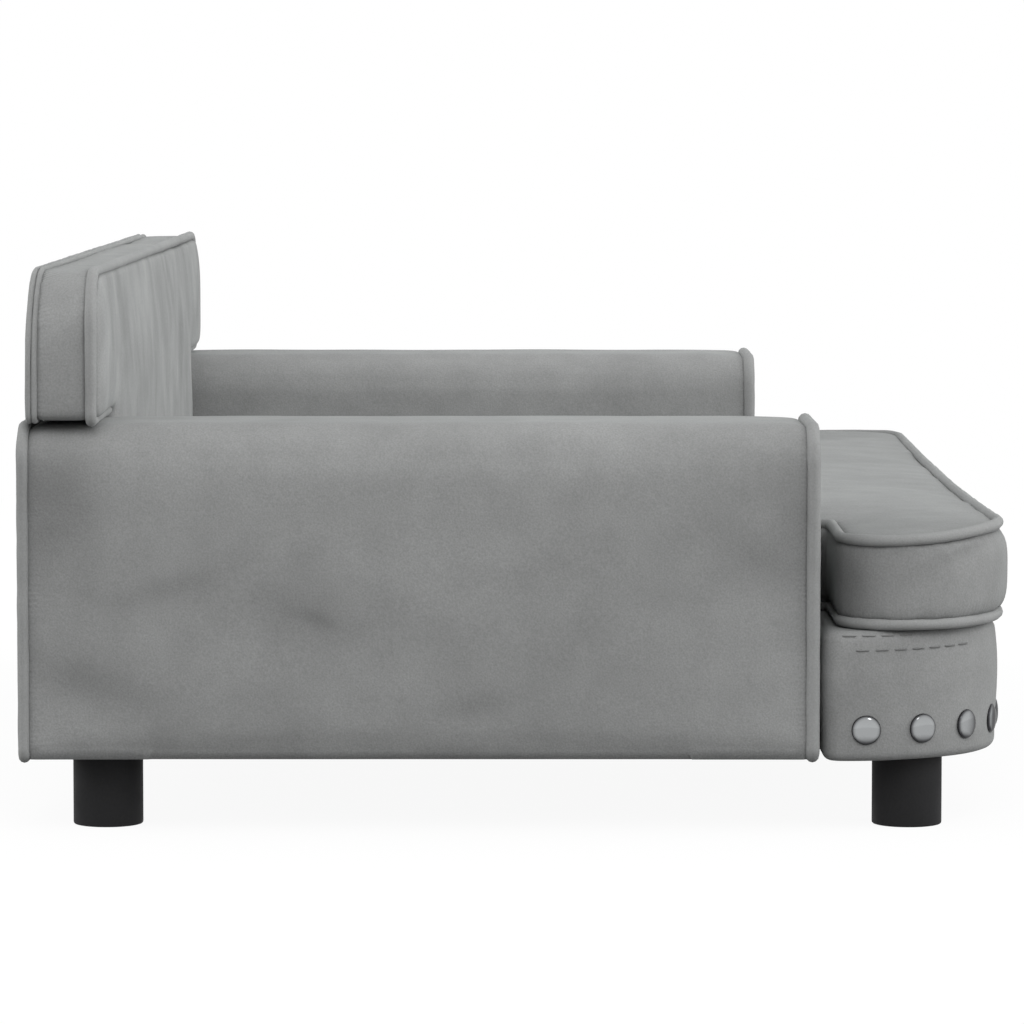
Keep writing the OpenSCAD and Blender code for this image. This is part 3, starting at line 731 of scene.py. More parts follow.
def make_materials():
    pile, fibres = build_pile(), build_fibres()
    velvet("grey velvet", (0.256, 0.260, 0.258, 1.0), 0.36, 0.50, pile)
    # The cords' velvet is painted a little lighter than the covers', a painted highlight on the raised piping
    velvet("cord velvet", (0.262, 0.266, 0.264, 1.0), 0.30, 0.30, pile)
    woody("rail wood", (0.58, 0.40, 0.22, 1.0), 60.0, 0.5, 0.6, fibres)
    woody("pressed board", (0.42, 0.30, 0.18, 1.0), 240.0, 0.6, 0.75, fibres)
    speckled("black plastic", (0.019, 0.019, 0.020), 700.0, 0.3, 0.00004, 0.55, specular=0.20)
    # The second colour is the plate's painted reflection, shown at its edge, below and a little on top
    plated("bright chrome", (0.68, 0.70, 0.71, 1.0), (0.06, 0.06, 0.065, 1.0))
    speckled("bolt steel", (0.50, 0.51, 0.53), 500.0, 0.2, 0.00002, 0.35, metallic=1.0)
    speckled("dust cloth", (0.030, 0.030, 0.032), 1100.0, 0.6, 0.0002, 0.9, specular=0.2)
    speckled("zip tape cloth", (0.16, 0.165, 0.163), 1300.0, 0.5, 0.0002, 0.85, specular=0.2)
    speckled("zip coil plastic", (0.13, 0.134, 0.132), 900.0, 0.2, 0.00003, 0.4)
    # The thread is painted darker than the velvet it matches, a painted shade in the dents of the stitches
    speckled("grey thread", (0.185, 0.188, 0.186), 2200.0, 0.6, 0.0001, 0.8, specular=0.2)


make_materials()


# Arms

# Spots on the left arm's outer side that make its colour darker, or lighter where the depth is negative: Y, Z,
# half length, half height, tilt in degrees and depth of the spot. The one high at the rear is painted shade
# beside the rear cord; the others are patches of pile.
ARM_PILE_AND_SHADE_MARKS = (
    (0.192, 0.132, 0.032, 0.007, -15, 0.14),
    (0.117, 0.118, 0.028, 0.014, 15, 0.15),
    (0.107, 0.116, 0.012, 0.004, 22, 0.15),
    (0.229, 0.082, 0.036, 0.013, 15, 0.26),
    (0.026, 0.069, 0.024, 0.008, -12, 0.18),
    (0.194, 0.056, 0.009, 0.012, 0, 0.09),
    (-0.127, 0.149, 0.028, 0.010, 30, 0.14),
    (-0.150, 0.158, 0.016, 0.050, 0, 0.12),
    (0.250, 0.180, 0.024, 0.040, 0, 0.20),
    (0.036, 0.101, 0.044, 0.016, 25, 0.08),
    (0.030, 0.044, 0.034, 0.004, 0, 0.14),
    (0.030, 0.048, 0.160, 0.007, 0, -0.08),
    (0.020, 0.158, 0.140, 0.024, 0, -0.05),
    (-0.065, 0.155, 0.040, 0.024, 0, -0.03),
    (0.080, 0.190, 0.070, 0.020, 0, -0.04),
    (-0.100, 0.100, 0.040, 0.030, 0, -0.06),
)


def arm_seams(low, high):
    """The two loops of piping round the ends of an arm, with the thicker one in front."""
    runs = []
    for y, cord in ((low.y + ARM_FRONT_CORD / 2, ARM_FRONT_CORD), (high.y - CORD_D / 2, CORD_D)):
        inset = Vector((cord / 2, 0, cord / 2))
        grown = PIPING_PROUD - cord / 2
        path = upright_box(low + inset, high - inset, y, ARM_FOOT_R + grown, ARM_EDGE_R + grown)
        runs.append((from_rear(path), cord))
    return runs


def make_arms():
    """The left arm with its piping, and the right one as its mirror image."""
    low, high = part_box("left_arm_piping")
    cover_low, cover_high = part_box("left_arm_cover")
    bottom, top = cover_low.z, cover_high.z
    wing_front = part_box("back_front_piping")[0].y
    runs = arm_seams(low, high)
    seams = [path for path, _ in runs]
    front, rear = low.y + ARM_END_SINK, high.y - ARM_END_SINK
    ends = [(front + away, inset) for away, inset in ARM_END_RINGS]
    ends += [(rear - away, inset) for away, inset in reversed(ARM_END_RINGS)]
    rings = []
    for y, inset in ends:
        shift = Vector((inset, 0, inset))
        box = cover_low + shift, cover_high - shift
        rings.append(upright_box(*box, y, ARM_FOOT_R - inset / 2, ARM_EDGE_R - inset / 2))
    arm = finished("left_arm_upholstery", bridged(rings))

    def reach(rest, out):
        share = 2 * (rest[:, 2] - bottom) / (top - bottom) - 1
        side = ARM_LEAST_BULGE + ARM_SIDE_BULGE * np.clip(1 - share ** 2, 0, 1)
        inner = np.where(out[:, 0] < 0, 1.0, ARM_INNER_SHARE)
        free = np.where(rest[:, 1] > wing_front, ARM_UNDER_WING_SHARE, 1.0)
        return (np.abs(out[:, 0]) * side * inner + np.clip(out[:, 2], 0, 1) * ARM_TOP_BULGE * free
                + np.abs(out[:, 1]) * ARM_END_BULGE)

    # Puckers, and the painted shade beside the cords, stronger at the front
    def looks(co, out):
        return 0.2, np.where(co[:, 1] < 0, 0.55, 0.12)

    swell(arm, seams, reach)
    sew(arm, seams, ARM_SEWING, looks)
    crumple(arm, *ARM_WAVES)
    co, out = places(arm.data), directions(arm.data)
    co[:, 2] = np.where(out[:, 2] < -0.6, bottom, np.maximum(co[:, 2], bottom))
    put(arm.data, co)
    twin = mirrored(arm, "right_arm_upholstery")
    # Patches of pile and a painted shade by the rear cord on the arm's outer side
    mark_pile_light_and_shade(arm, 1, 2, ARM_PILE_AND_SHADE_MARKS, (-1, 0, 0))
    for side, piece in (("left", arm), ("right", twin)):
        nodes = [f"{side}_arm_cover", f"{side}_arm_end_covers", f"{side}_arm_padding"]
        dress(piece, "frame", "grey velvet", nodes)
    piping("left_arm_trim", runs, True, "frame", ["left_arm_piping"])
    flipped = [([Vector((-p.x, p.y, p.z)) for p in path], cord) for path, cord in runs]
    piping("right_arm_trim", flipped, True, "frame", ["right_arm_piping"])


make_arms()


# Back

# Spots on the front of the back: X, Z and the rest as for the arms. The lighter ones high on the face and at
# its near end are painted light; the darker ones are patches of pile.
BACK_PILE_AND_LIGHT_MARKS = (
    (-0.250, 0.247, 0.040, 0.012, 0, 0.06),
    (-0.150, 0.243, 0.040, 0.014, 0, 0.06),
    (-0.350, 0.275, 0.040, 0.030, 0, -0.05),
    (-0.420, 0.260, 0.025, 0.060, 0, -0.05),
    (-0.140, 0.285, 0.120, 0.016, 4, -0.06),
    (0.080, 0.230, 0.050, 0.050, 0, 0.05),
    (0.250, 0.250, 0.090, 0.060, 0, 0.04),
)


def between_arms():
    """Half the width that the arms leave free."""
    return -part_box("left_arm_piping")[1].x - SLACK


def under_wings():
    """The height of the wings' underside."""
    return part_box("back_front_piping")[0].z + PIPING_PROUD


def winged(stem, foot, wing, half, top, y, lean=0.0):
    """The corners of the back, from one foot of its stem round the wings to the other."""
    return [Vector((x, y, z)) for x, z in (
        (stem, foot), (stem, wing), (half, wing), (half, top - lean), (-half, top + lean),
        (-half, wing), (-stem, wing), (-stem, foot))]


def back_points(inset, y, corner_r):
    """The corners of the cover's outline moved in by an inset, and how far each is rounded."""
    low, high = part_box("back_boxing")
    wing = under_wings() - BACK_WING_SAG + inset * 0.2
    points = winged(between_arms() - inset, low.z, wing, high.x - inset, high.z - inset, y, BACK_LEAN)
    corner = corner_r - inset
    return points, [0, 0, BACK_FOOT_R, corner, corner, BACK_FOOT_R, 0, 0]


def back_seam(y, corner_r, cord, proud=PIPING_PROUD):
    """The run of piping round the wings at one face of the back."""
    points, bends = back_points(cord / 2 - proud, y, corner_r)
    return rounded(points[1:7], bends[1:7], closed=False)


def make_back():
    """The cover of the back, its front cord and the twin cord at its rear."""
    front_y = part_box("back_front_piping")[0].y + CORD_D / 2 + 0.0002
    rear_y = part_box("back_rear_piping")[1].y - TWIN_CORD - 0.0004
    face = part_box("back_front_cover")[0].y
    bottom, top = [corner.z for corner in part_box("back_boxing")]
    wing_low = under_wings()
    front_seam = back_seam(front_y, BACK_FRONT_R, CORD_D)
    rear_seam = back_seam(rear_y, BACK_REAR_R, TWIN_CORD, TWIN_PROUD)
    seams = [front_seam, rear_seam]
    rings = []
    rear, front = BACK_REAR_R, BACK_FRONT_R
    for y, inset, corner_r in ((rear_y + 0.0030, 0.0060, rear), (rear_y + 0.0022, 0.0022, rear),
                               (rear_y, 0.0008, rear), (front_y, 0.0008, front),
                               (front_y - 0.0036, 0.0014, front), (face + 0.0034, 0.0045, front),
                               (face + 0.0018, 0.0110, front), (face + 0.0010, 0.0200, front + 0.004)):
        rings.append(rounded(*back_points(inset, y, corner_r), gap=1.0))
    back = finished("back_upholstery", bridged(rings))

    def held(rest, out):
        return np.where(rest[:, 2] < bottom + BACK_HELD_H, 1.0, 0.0)

    def reach(rest, out):
        rise = np.clip((rest[:, 2] - wing_low) / 0.02, 0, 1)
        middle = np.clip(1.15 - (np.abs(rest[:, 0]) / 0.44) ** 2, 0.25, 1)
        return (np.clip(-out[:, 1], 0, 1) * BACK_FRONT_BULGE * middle
                + np.clip(out[:, 1], 0, 1) * BACK_REAR_BULGE + np.clip(out[:, 2], 0, 1) * BACK_TOP_BULGE
                + np.abs(out[:, 0]) * BACK_END_BULGE * rise)

    # Puckers high up at the rear, and the painted shade beside the cords: on the front face only under its top
    # cord
    def looks(co, out):
        at_rear = co[:, 1] > (front_y + rear_y) / 2
        high_up = np.clip((co[:, 2] - wing_low) / (top - wing_low) * 1.6 - 0.4, 0.25, 1)
        under_top = np.where(co[:, 2] > top - 0.012, 0.9, 0.0)
        beside = np.where(at_rear, 0.35, 0.75)
        return (np.where(at_rear & (out[:, 1] < 0.5), high_up, 0.05),
                np.where(out[:, 1] < -0.3, under_top, beside))

    swell(back, seams, reach, held=held)
    sew(back, seams, BACK_SEWING, looks)
    crumple(back, *BACK_WAVES)
    # Patches of pile, painted light high on the face and stripes of painted fold shade on the back's front
    mark_pile_light_and_shade(back, 0, 2, BACK_PILE_AND_LIGHT_MARKS, (0, -1, 0), streaks=BACK_FOLD_SHADE_STREAKS)
    dress(back, "frame", "grey velvet",
          ["back_front_cover", "back_boxing", "back_rear_cover", "back_padding"])
    piping("back_front_trim", [(front_seam, CORD_D)], False, "frame", ["back_front_piping"])
    twin = [back_seam(rear_y + side * TWIN_CORD / 2, BACK_REAR_R, TWIN_CORD, TWIN_PROUD)
            for side in (-TWIN_APART, TWIN_APART)]
    piping("back_rear_trim", [(path, TWIN_CORD) for path in twin], False, "frame", ["back_rear_piping"])


def make_back_board():
    """The board in the back, with its upper corners as round as the rear of the cover."""
    low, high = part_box("back_board")
    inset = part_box("back_boxing")[1].x - high.x
    stem, wing = between_arms() - inset / 2, under_wings() + inset
    corner = BACK_REAR_R - inset
    bends = [0, 0, LEAST_R, corner, corner, LEAST_R, 0, 0]
    rings = [rounded(winged(stem, low.z, wing, high.x, high.z, y), bends, gap=1.0)
             for y in (low.y, high.y)]
    board = finished("back_inner_board", bridged(rings))
    dress(board, "frame", "pressed board", ["back_board"])


make_back()
make_back_board()


# Seat base


def base_outline(inset=0.0):
    """The plan of the seat base, or one moved in with smaller bends."""
    low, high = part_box("apron_cover")
    ear_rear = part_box("left_arm_piping")[0].y - BASE_ARM_GAP
    corner, ear = (BASE_CORNER_R - inset,) * 2, max(BASE_EAR_R - inset, LEAST_R)
    notch, rear = BASE_NOTCH_R + inset, max(BASE_REAR_R - inset, LEAST_R)
    return t_plan(high.x - inset, between_arms() - inset, low.y + APRON_IN + inset, ear_rear - inset,
                  high.y - inset, 0.0, (corner, corner, ear, notch, rear))


def apron_inset(share):
    """How far the padding of the apron stands in, by its share of the height of the straight part."""
    return -APRON_BULGE * math.sin(math.pi * min(max(share, 0), 1) ** 1.6)


def apron_profile(low, top):
    """Inset and height of each ring of the apron, from under its foot to its top."""
    profile = [(inset, low + APRON_DROP + rise) for inset, rise in APRON_UNDER_RINGS]
    for k in range(APRON_FOOT_STEPS + 1):
        turn = math.pi / 2 * k / APRON_FOOT_STEPS
        profile.append((APRON_FOOT_R * (1 - math.sin(turn)), low + APRON_FOOT_R * (1 - math.cos(turn))))
    rise = top - APRON_TOP_R - low - APRON_FOOT_R
    for share in [k / APRON_FACE_STEPS for k in range(1, APRON_FACE_STEPS)]:
        profile.append((apron_inset(share), low + APRON_FOOT_R + share * rise))
    for k in range(APRON_TOP_STEPS + 1):
        turn = math.pi / 2 * k / APRON_TOP_STEPS
        profile.append((APRON_TOP_R * (1 - math.cos(turn)), top - APRON_TOP_R * (1 - math.sin(turn))))
    return profile


# Painted shade on the near end of the apron, along its foot, in a thin band under its top and beside the arm:
# Y, Z and the rest as for the arms
APRON_SHADE_MARKS = (
    (-0.210, 0.046, 0.070, 0.0070, 0, 0.09),
    (-0.200, 0.096, 0.050, 0.0030, 0, 0.04),
    (-0.180, 0.070, 0.012, 0.0200, 0, 0.05),
)


def make_apron():
    """The padded cover of the seat base, with its flat deck."""
    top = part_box("deck_cloth")[1].z
    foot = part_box("apron_cover")[0].z - APRON_DROP
    outline = base_outline()
    rings = [drawn_in(outline, inset, z) for inset, z in apron_profile(foot, top)]
    apron = finished("apron_upholstery", bridged(rings))
    crumple(apron, *APRON_WAVES)
    co = places(apron.data)
    co[:, 2] = np.where(co[:, 2] > top - 0.0008, top, np.maximum(co[:, 2], foot))
    put(apron.data, co)
    # Painted shade on the apron's near end and over the whole apron
    mark_pile_light_and_shade(apron, 1, 2, APRON_SHADE_MARKS, (-1, 0, 0), whole_shade=APRON_WHOLE_SHADE)
    dress(apron, "frame", "grey velvet", ["apron_cover", "apron_padding", "deck_cloth"])
    for face in apron.data.polygons:
        face.use_smooth = face.area < APRON_FLAT_AREA


def apron_place(side, way, z):
    """A place on the apron, a way past the start of one front corner, and the way out from it."""
    low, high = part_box("apron_cover")
    roll_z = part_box("deck_cloth")[1].z - APRON_TOP_R
    over = min(max(z - roll_z, 0) / APRON_TOP_R, 1)
    start = low.z + APRON_FOOT_R - APRON_DROP
    inset = APRON_TOP_R * (1 - math.sqrt(1 - over ** 2)) + apron_inset((z - start) / (roll_z - start))
    run = high.x - BASE_CORNER_R
    corner_way = BASE_CORNER_R * math.pi / 2
    turn = min(max(way / corner_way, 0), 1) * math.pi / 2
    along = max(way - corner_way, 0)
    out = Vector((side * math.cos(turn), -math.sin(turn), 0))
    middle = Vector((side * (run - along), low.y + APRON_IN + BASE_CORNER_R - min(way, 0), z))
    return middle + out * (BASE_CORNER_R - inset), out


def make_nails():
    """Domed chrome nail heads with their pins. Each point stores how much the plate's colour is darkened
    there, a painted reflection: a dark outline, a dark crescent below and a little on top.
    """
    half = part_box("apron_cover")[1].x
    half_way = BASE_CORNER_R * math.pi / 2 - NAIL_START + half - BASE_CORNER_R
    steps = round(half_way / NAIL_PITCH)
    radius = NAIL_D / 2
    turns = [math.pi / 2 * k / NAIL_DOME_STEPS for k in range(NAIL_DOME_STEPS + 1)]
    profile = [(radius * math.sin(turn), NAIL_DOME * math.cos(turn) ** 0.8) for turn in turns]
    profile += [(radius * NAIL_RIM[0], NAIL_RIM[1]), *NAIL_PIN]
    bm = bmesh.new()
    heads = []
    for side in (-1, 1):
        for k in range(steps + (side < 0)):
            place, out = apron_place(side, NAIL_START + k * half_way / steps, NAIL_Z)
            heads.append((place, out))
            aside = Vector((-out.y, out.x, 0))
            ring = [bm.verts.new(place + aside * away + out * rise) for away, rise in profile]
            edges = [bm.edges.new(pair) for pair in zip(ring, ring[1:])]
            bmesh.ops.spin(bm, geom=ring + edges, cent=place, axis=out, angle=2 * math.pi,
                           steps=NAIL_SIDES, use_merge=True)
    bmesh.ops.remove_doubles(bm, verts=bm.verts, dist=1e-6)
    bmesh.ops.recalc_face_normals(bm, faces=bm.faces)
    nails = finished("apron_nail_heads", bm)
    co = places(nails.data)
    painted_reflection = np.zeros(len(co))
    for place, out in heads:
        off = co - np.array(place)
        rise = off @ np.array(out)
        away = np.linalg.norm(off - rise[:, None] * np.array(out), axis=1) / radius
        height = off[:, 2] / radius
        # Painted reflection: a dark outline, a dark crescent below and a little darkening on top
        shade = np.clip((away - 0.80) / 0.18, 0, 1) + 0.70 * np.clip((-height - 0.42) / 0.4, 0, 1)
        shade += 0.14 * np.clip((height - 0.1) / 0.6, 0, 1)
        painted_reflection = np.where((away < 1.3) & (np.abs(rise) < NAIL_REACH), np.minimum(shade, 1), painted_reflection)
    keep_value(nails.data, "painted_reflection", painted_reflection)
    dress(nails, "frame", "bright chrome", ["apron_nails"])


# Rows of stitches: where each starts and ends on the way round a front corner, and its height there
STITCH_ROWS = ((-0.004, 0.036, 0.1066, 0.1066), (0.003, 0.068, 0.0988, 0.0998))


def make_stitches():
    """Two short rows of thread that close the cover at each ear."""
    runs = []
    for side in (-1, 1):
        for start, stop, start_z, stop_z in STITCH_ROWS:
            count = int((stop - start) / (STITCH_L + STITCH_GAP)) + 1
            for k in range(count):
                path = []
                for share in STITCH_SHARES:
                    way = start + k * (STITCH_L + STITCH_GAP) + share * STITCH_L
                    z = start_z + (stop_z - start_z) * (way - start) / (stop - start)
                    place, out = apron_place(side, way, z)
                    sink = STITCH_SINK if share in (0, 1) else 0.0
                    path.append(place + out * (STITCH_PROUD - sink))
                runs.append((path, THREAD_D))
    piece = finished("apron_stitches", cords(runs, False, 1))
    dress(piece, "frame", "grey thread")


def make_dust_cover():
    """Thin cloth stapled under the seat base."""
    low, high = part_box("dust_cover")
    ring = [Vector((p.x, p.y, low.z + DUST_T / 2)) for p in base_outline(DUST_INSET)]
    bm = bmesh.new()
    face = bm.faces.new([bm.verts.new(p) for p in ring])
    faces = sliced(bm, face, low, high)
    area = sum(f.calc_area() for f in faces)
    for v in bm.verts:
        if not v.is_boundary:
            v.co.z += DUST_SLACK * noise.noise(v.co * DUST_SCALE)
    bmesh.ops.recalc_face_normals(bm, faces=bm.faces)
    bmesh.ops.solidify(bm, geom=bm.faces[:], thickness=DUST_T)
    bmesh.ops.recalc_face_normals(bm, faces=bm.faces)
    piece = finished("dust_cloth", bm)
    dress(piece, "frame", "dust cloth", ["dust_cover"])


make_apron()
make_nails()
make_stitches()
make_dust_cover()


# Cushion

# Painted shade on the near end of the cushion: a band and a slanting shadow under its upper cord, and
# darker spots towards the recess beside the arm: Y, Z and the rest as for the arms
CUSHION_SHADE_MARKS = (
    (-0.245, 0.1535, 0.020, 0.0028, -20, 0.20),
    (-0.185, 0.1350, 0.012, 0.0220, 0, 0.12),
    (-0.212, 0.1420, 0.016, 0.0080, 0, 0.06),
    (-0.215, 0.1530, 0.080, 0.0034, 0, 0.13),
    (-0.172, 0.1350, 0.012, 0.0300, 0, 0.35),
)


def cushion_outline(inset, z, lean=1.0):
    """The outline of the cushion, whose front bows in a little and whose front corners turn up. lean
    is how much of the lift it takes."""
    low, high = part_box("cushion_boxing")
    stem = -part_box("left_arm_cover")[1].x - CUSHION_SIDE_GAP - inset
    ear_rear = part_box("left_arm_piping")[0].y - CUSHION_ARM_GAP - inset
    half = high.x - inset
    near, far = [tuple(r - inset for r in corner) for corner in (CUSHION_NEAR_CORNER, CUSHION_FAR_CORNER)]
    outline = t_plan(half, stem, low.y + inset, ear_rear, high.y - inset, z,
                     (near, far, CUSHION_EAR_R - inset, CUSHION_NOTCH_R, CUSHION_REAR_R - inset))
    straight = half - near[0]
    for p in outline:
        share = 1 - (p.x / straight) ** 2
        if share > 0 and p.y < low.y + inset + 0.001:
            p.y += CUSHION_BOW * share
        front = min(max((-p.y - CUSHION_LIFT_START) / CUSHION_LIFT_RUN, 0), 1) ** 2
        lift = CUSHION_FRONT_LIFT + CUSHION_LIFT[p.x > 0] * (p.x / CUSHION_LIFT_HALF) ** 2
        p.z += lean * (CUSHION_LEAN * p.x / half + min(front * lift, CUSHION_MOST_LIFT))
    return outline


def make_cushion():
    """The cover of the cushion with its two cords."""
    low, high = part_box("cushion_boxing")
    bottom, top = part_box("cushion_bottom_cover")[0].z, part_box("cushion_top_cover")[1].z
    cord = CORD_D / 2
    seams = [from_rear(cushion_outline(CUSHION_SEAM_IN, top - cord)),
             from_rear(cushion_outline(CUSHION_SEAM_IN, bottom + cord, 0.0))]
    levels = [(inset, bottom + rise) for inset, rise in CUSHION_RINGS]
    levels += [(inset, top - rise) for inset, rise in reversed(CUSHION_RINGS)]
    rings = [cushion_outline(inset, z, (z - bottom) / (top - bottom)) for inset, z in levels]
    cushion = finished("cushion_upholstery", bridged(rings))
    zip_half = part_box("cushion_zip")[1].x

    def reach(rest, out):
        share = np.clip(1 - ((rest[:, 2] - (top + bottom) / 2) / (top - bottom) * 2) ** 4, 0, 1)
        stem = rest[:, 1] > low.y + CUSHION_NEAR_CORNER[1] + 0.030
        side = np.where(stem, CUSHION_STEM_BULGE, CUSHION_EAR_BULGE)
        beside_zip = np.clip((np.abs(rest[:, 0]) - zip_half) / 0.03, 0, 1) * CUSHION_REAR_BULGE
        return (np.clip(out[:, 2], 0, 1) * CUSHION_CROWN + np.abs(out[:, 0]) * side * share
                + np.clip(-out[:, 1], 0, 1) * CUSHION_FRONT_BULGE * share
                + np.clip(out[:, 1], 0, 1) * (beside_zip + CUSHION_ZIP_BULGE) * share)

    # Puckers, and the painted shade beside the cords, strongest on top
    def looks(co, out):
        return 0.25, np.where(out[:, 2] > 0.5, 0.8, 0.6)

    swell(cushion, seams, reach, CUSHION_VOXEL)
    sew(cushion, seams, CUSHION_SEWING, looks)
    crumple(cushion, *CUSHION_WAVES)
    co, out = places(cushion.data), directions(cushion.data)
    share = np.clip(1 - ((co[:, 2] - (top + bottom) / 2) / (top - bottom) * 2.4) ** 4, 0, 1)
    co[:, 1] -= CUSHION_FULL * share * np.clip(-out[:, 1], 0, 1)
    co[:, 2] = np.maximum(co[:, 2], bottom)
    flat = (np.abs(co[:, 0]) < zip_half + 0.004) & (co[:, 1] > high.y - 0.004)
    co[:, 1] = np.where(flat, np.minimum(co[:, 1], high.y - 0.0006), co[:, 1])
    put(cushion.data, co)
    # Painted shade on the cushion's near end and over the whole cushion
    mark_pile_light_and_shade(cushion, 1, 2, CUSHION_SHADE_MARKS, (-1, 0, 0), whole_shade=CUSHION_WHOLE_SHADE)
    dress(cushion, "cushion", "grey velvet",
          ["cushion_foam", "cushion_top_cover", "cushion_boxing", "cushion_bottom_cover"])
    for part, seam in zip(("top", "bottom"), seams):
        piping(f"cushion_{part}_trim", [(seam, CORD_D)], True, "cushion", [f"cushion_{part}_piping"])


def block(bm, low, high, radius, segments=2):
    """A box between two corners with all its edges rounded."""
    size = high - low
    made = bmesh.ops.create_cube(bm, size=1.0)
    bmesh.ops.scale(bm, vec=size, verts=made["verts"])
    bmesh.ops.translate(bm, vec=(low + high) / 2, verts=made["verts"])
    edges = list({e for v in made["verts"] for e in v.link_edges})
    bevelled(bm, edges, radius, segments)


def make_zip():
    """Woven tape with a coil of teeth, and the slider with its pull."""
    low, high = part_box("cushion_zip")
    middle = (low.z + high.z) / 2
    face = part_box("cushion_boxing")[1].y
    bm = bmesh.new()
    for side in (-1, 1):
        edge = low.z if side < 0 else high.z
        lower, upper = sorted((edge, middle + side * ZIP_SPLIT))
        block(bm, Vector((low.x, face - ZIP_SUNK, lower)), Vector((high.x, face + ZIP_PROUD, upper)),
              ZIP_EDGE_R, 1)
    tape = finished("zip_tape", bm)
    dress(tape, "cushion", "zip tape cloth", ["cushion_zip"])
    bm = bmesh.new()
    tooth = Vector(ZIP_TOOTH)
    for k in range(int((high.x - low.x) / ZIP_TOOTH_PITCH)):
        x = low.x + (k + 0.5) * ZIP_TOOTH_PITCH
        at = Vector((x, face + 0.0006, middle + (ZIP_SPLIT if k % 2 else -ZIP_SPLIT)))
        block(bm, at - tooth / 2, at + tooth / 2, ZIP_EDGE_R, 1)
    dress(finished("zip_teeth", bm), "cushion", "zip coil plastic")
    low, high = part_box("zip_slider")
    at = (low + high) / 2
    bm = bmesh.new()
    under = face + 0.0018
    block(bm, Vector((low.x, under, low.z + 0.0012)), Vector((high.x, high.y, high.z - 0.0012)), 0.0009)
    block(bm, Vector((low.x, under, low.z)), Vector((at.x + 0.001, high.y - 0.0006, high.z)), 0.0009)
    block(bm, Vector((at.x - 0.0035, high.y - 0.0008, at.z - 0.0012)),
          Vector((at.x + 0.0035, high.y + 0.0018, at.z + 0.0012)), 0.0008)
    pull = Vector((at.x, high.y + 0.0004, at.z - 0.0005))
    half, bar = ZIP_PULL_W / 2, ZIP_PULL_BAR
    for left, right, rise in ((-half, bar - half, 0.0015), (half - bar, half, 0.0015),
                              (-half, half, ZIP_PULL_HOLE - ZIP_PULL_L)):
        block(bm, pull + Vector((left, 0, -ZIP_PULL_L)), pull + Vector((right, ZIP_PULL_T, rise)), 0.0004)
    dress(finished("zip_pull_and_slider", bm), "zip_slider", "bolt steel", ["zip_slider"])


make_cushion()
make_zip()


# Legs


def make_legs():
    """Four round feet with their edges taken off."""
    for row in ("front", "rear"):
        for side in ("left", "right"):
            low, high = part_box(f"{row}_{side}_leg")
            bm = bmesh.new()
            bmesh.ops.create_cone(bm, cap_ends=True, segments=LEG_SIDES, radius1=LEG_D / 2,
                                  radius2=LEG_D / 2, depth=high.z - low.z,
                                  matrix=Matrix.Translation((low + high) / 2))
            rims = [e for e in bm.edges if abs(e.verts[0].co.z - e.verts[1].co.z) < 1e-6]
            bevelled(bm, rims, LEG_BEVEL, 3)
            piece = finished(f"{row}_{side}_foot", bm)
            dress(piece, "frame", "black plastic", [f"{row}_{side}_leg"])


make_legs()


# CAD nodes that stay: each gets the material of what it is made of

INSIDE = {
    "pressed board": ["base_board", "deck_board", "apron_backing"]
    + [f"{side}_arm_{part}" for side in ("left", "right")
       for part in ("outer_panel", "inner_panel", "top_board", "bottom_board", "end_boards")],
    "rail wood": ["front_rail", "rear_rail", "side_rails", "cross_ribs", "ear_blocks"],
    "bolt steel": ["leg_bolts", "leg_tee_nuts", "arm_bolts", "arm_tee_nuts", "back_bolts"],
}
for finish, names in INSIDE.items():
    for name in names:
        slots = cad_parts[name].material_slots
        for slot in slots:
            slot.material = finishes[finish]
        if not slots:
            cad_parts[name].data.materials.append(finishes[finish])


# Floor, light and camera


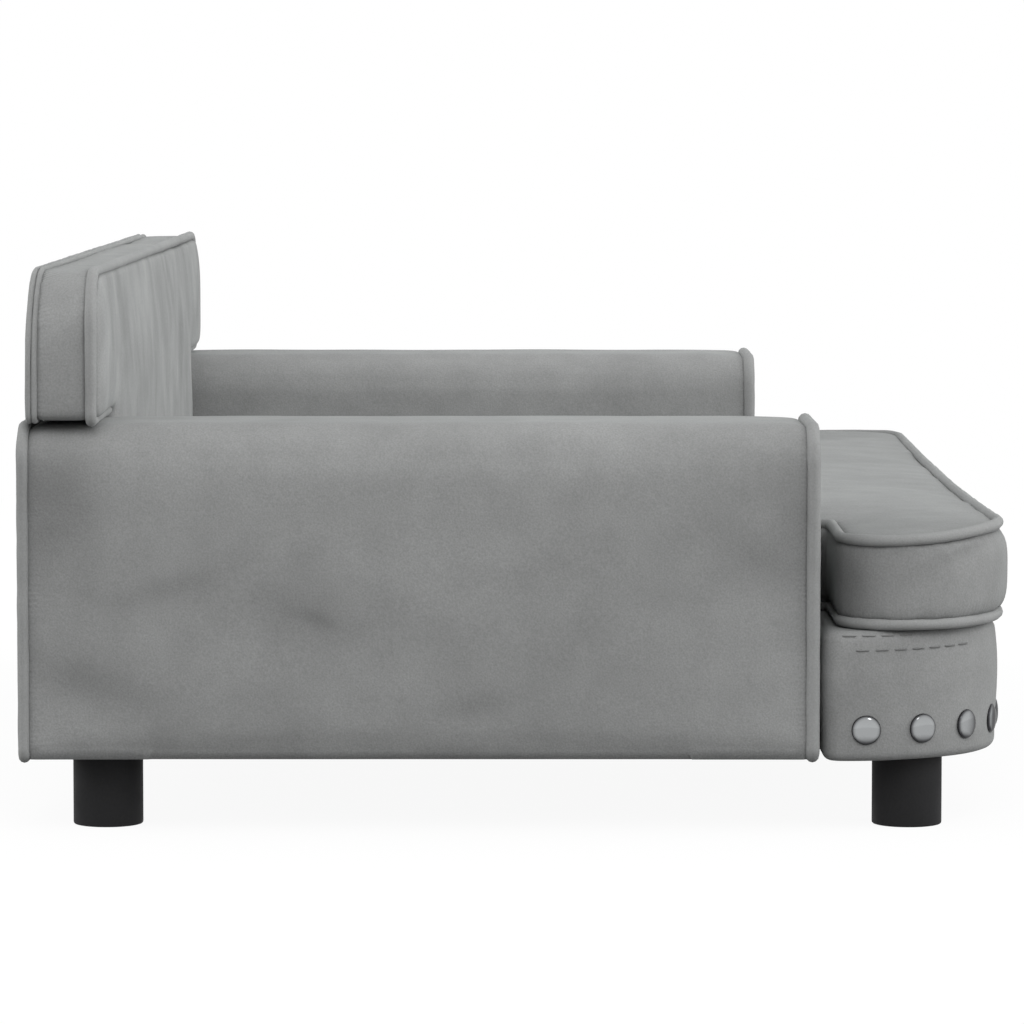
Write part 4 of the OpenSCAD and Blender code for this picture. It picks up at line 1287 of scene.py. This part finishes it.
def make_floor():
    """A floor that shows white, keeps the sofa's shadow and throws little light back at it."""
    bm = bmesh.new()
    bmesh.ops.create_grid(bm, x_segments=1, y_segments=1, size=FLOOR_SIZE)
    floor = finished("floor", bm)
    tree = new_finish("pale floor")
    path = node(tree, "ShaderNodeLightPath")
    camera = path.outputs["Is Camera Ray"]
    level = maths(tree, "MULTIPLY_ADD", camera, FLOOR_TONE - FLOOR_BOUNCE, FLOOR_BOUNCE)
    tone = node(tree, "ShaderNodeCombineColor", {0: level, 1: level, 2: level}).outputs[0]
    plain = node(tree, "ShaderNodeBsdfDiffuse", {"Color": tone}).outputs[0]
    glossy = path.outputs["Is Glossy Ray"]
    strength = maths(tree, "MULTIPLY_ADD", glossy, FLOOR_GLOSS - 1.0, 1.0)
    white = node(tree, "ShaderNodeEmission", {"Color": (1, 1, 1, 1), "Strength": strength}).outputs[0]
    where = node(tree, "ShaderNodeTexCoord").outputs["Object"]
    away = node(tree, "ShaderNodeVectorMath", {0: where}, operation="LENGTH").outputs["Value"]
    fade = node(tree, "ShaderNodeMapRange", {"Value": away, "From Min": FLOOR_FADE[0],
                                             "From Max": FLOOR_FADE[1], "To Min": FLOOR_WHITE,
                                             "To Max": 1.0}).outputs[0]
    share = maths(tree, "MAXIMUM", maths(tree, "MULTIPLY", camera, fade), glossy)
    mixed = node(tree, "ShaderNodeMixShader", {0: share, 1: plain, 2: white}).outputs[0]
    node(tree, "ShaderNodeOutputMaterial", {"Surface": mixed})
    floor.data.materials.append(finishes["pale floor"])


def add_lamp(name, power, source, spread):
    """A lamp far away in one direction, as wide as its spread."""
    lamp = bpy.data.objects.new(f"{name} lamp", bpy.data.lights.new(f"{name} lamp", "SUN"))
    lamp.data.energy = power
    lamp.data.angle = spread
    lamp.rotation_euler = Vector(source).to_track_quat("Z", "Y").to_euler()
    scene.collection.objects.link(lamp)
    return lamp


def make_light():
    """An even white room with three broad lamps, and a small one that metal shows."""
    world = bpy.data.worlds.new("studio")
    scene.world = world
    world.use_nodes = True
    tree = world.node_tree
    tree.nodes.clear()
    path = node(tree, "ShaderNodeLightPath")
    level = maths(tree, "MULTIPLY_ADD", path.outputs["Is Camera Ray"], 1.0 - WORLD_LEVEL, WORLD_LEVEL)
    level = maths(tree, "MULTIPLY_ADD", path.outputs["Is Glossy Ray"], GLOSSY_LEVEL - WORLD_LEVEL, level)
    sky = node(tree, "ShaderNodeBackground", {"Color": (1, 1, 1, 1), "Strength": level})
    node(tree, "ShaderNodeOutputWorld", {"Surface": sky.outputs[0]})
    for name, (power, source) in LAMPS.items():
        add_lamp(name, power, source, LAMP_SPREAD).visible_glossy = False
    add_lamp("spark", *SPARK)


def make_camera():
    """The place and the angle that the photograph was taken from, with a long lens."""
    camera = bpy.data.objects.new("camera", bpy.data.cameras.new("camera"))
    camera.data.lens = CAMERA_LENS
    camera.data.sensor_width = SENSOR_W
    camera.data.clip_start = 0.1
    camera.data.clip_end = 100
    camera.location = CAMERA_PLACE
    camera.rotation_euler = (math.pi / 2 - CAMERA_PITCH, 0, CAMERA_YAW - math.pi / 2)
    scene.collection.objects.link(camera)
    scene.camera = camera
    scene.view_settings.view_transform = "Standard"


make_floor()
make_light()
make_camera()
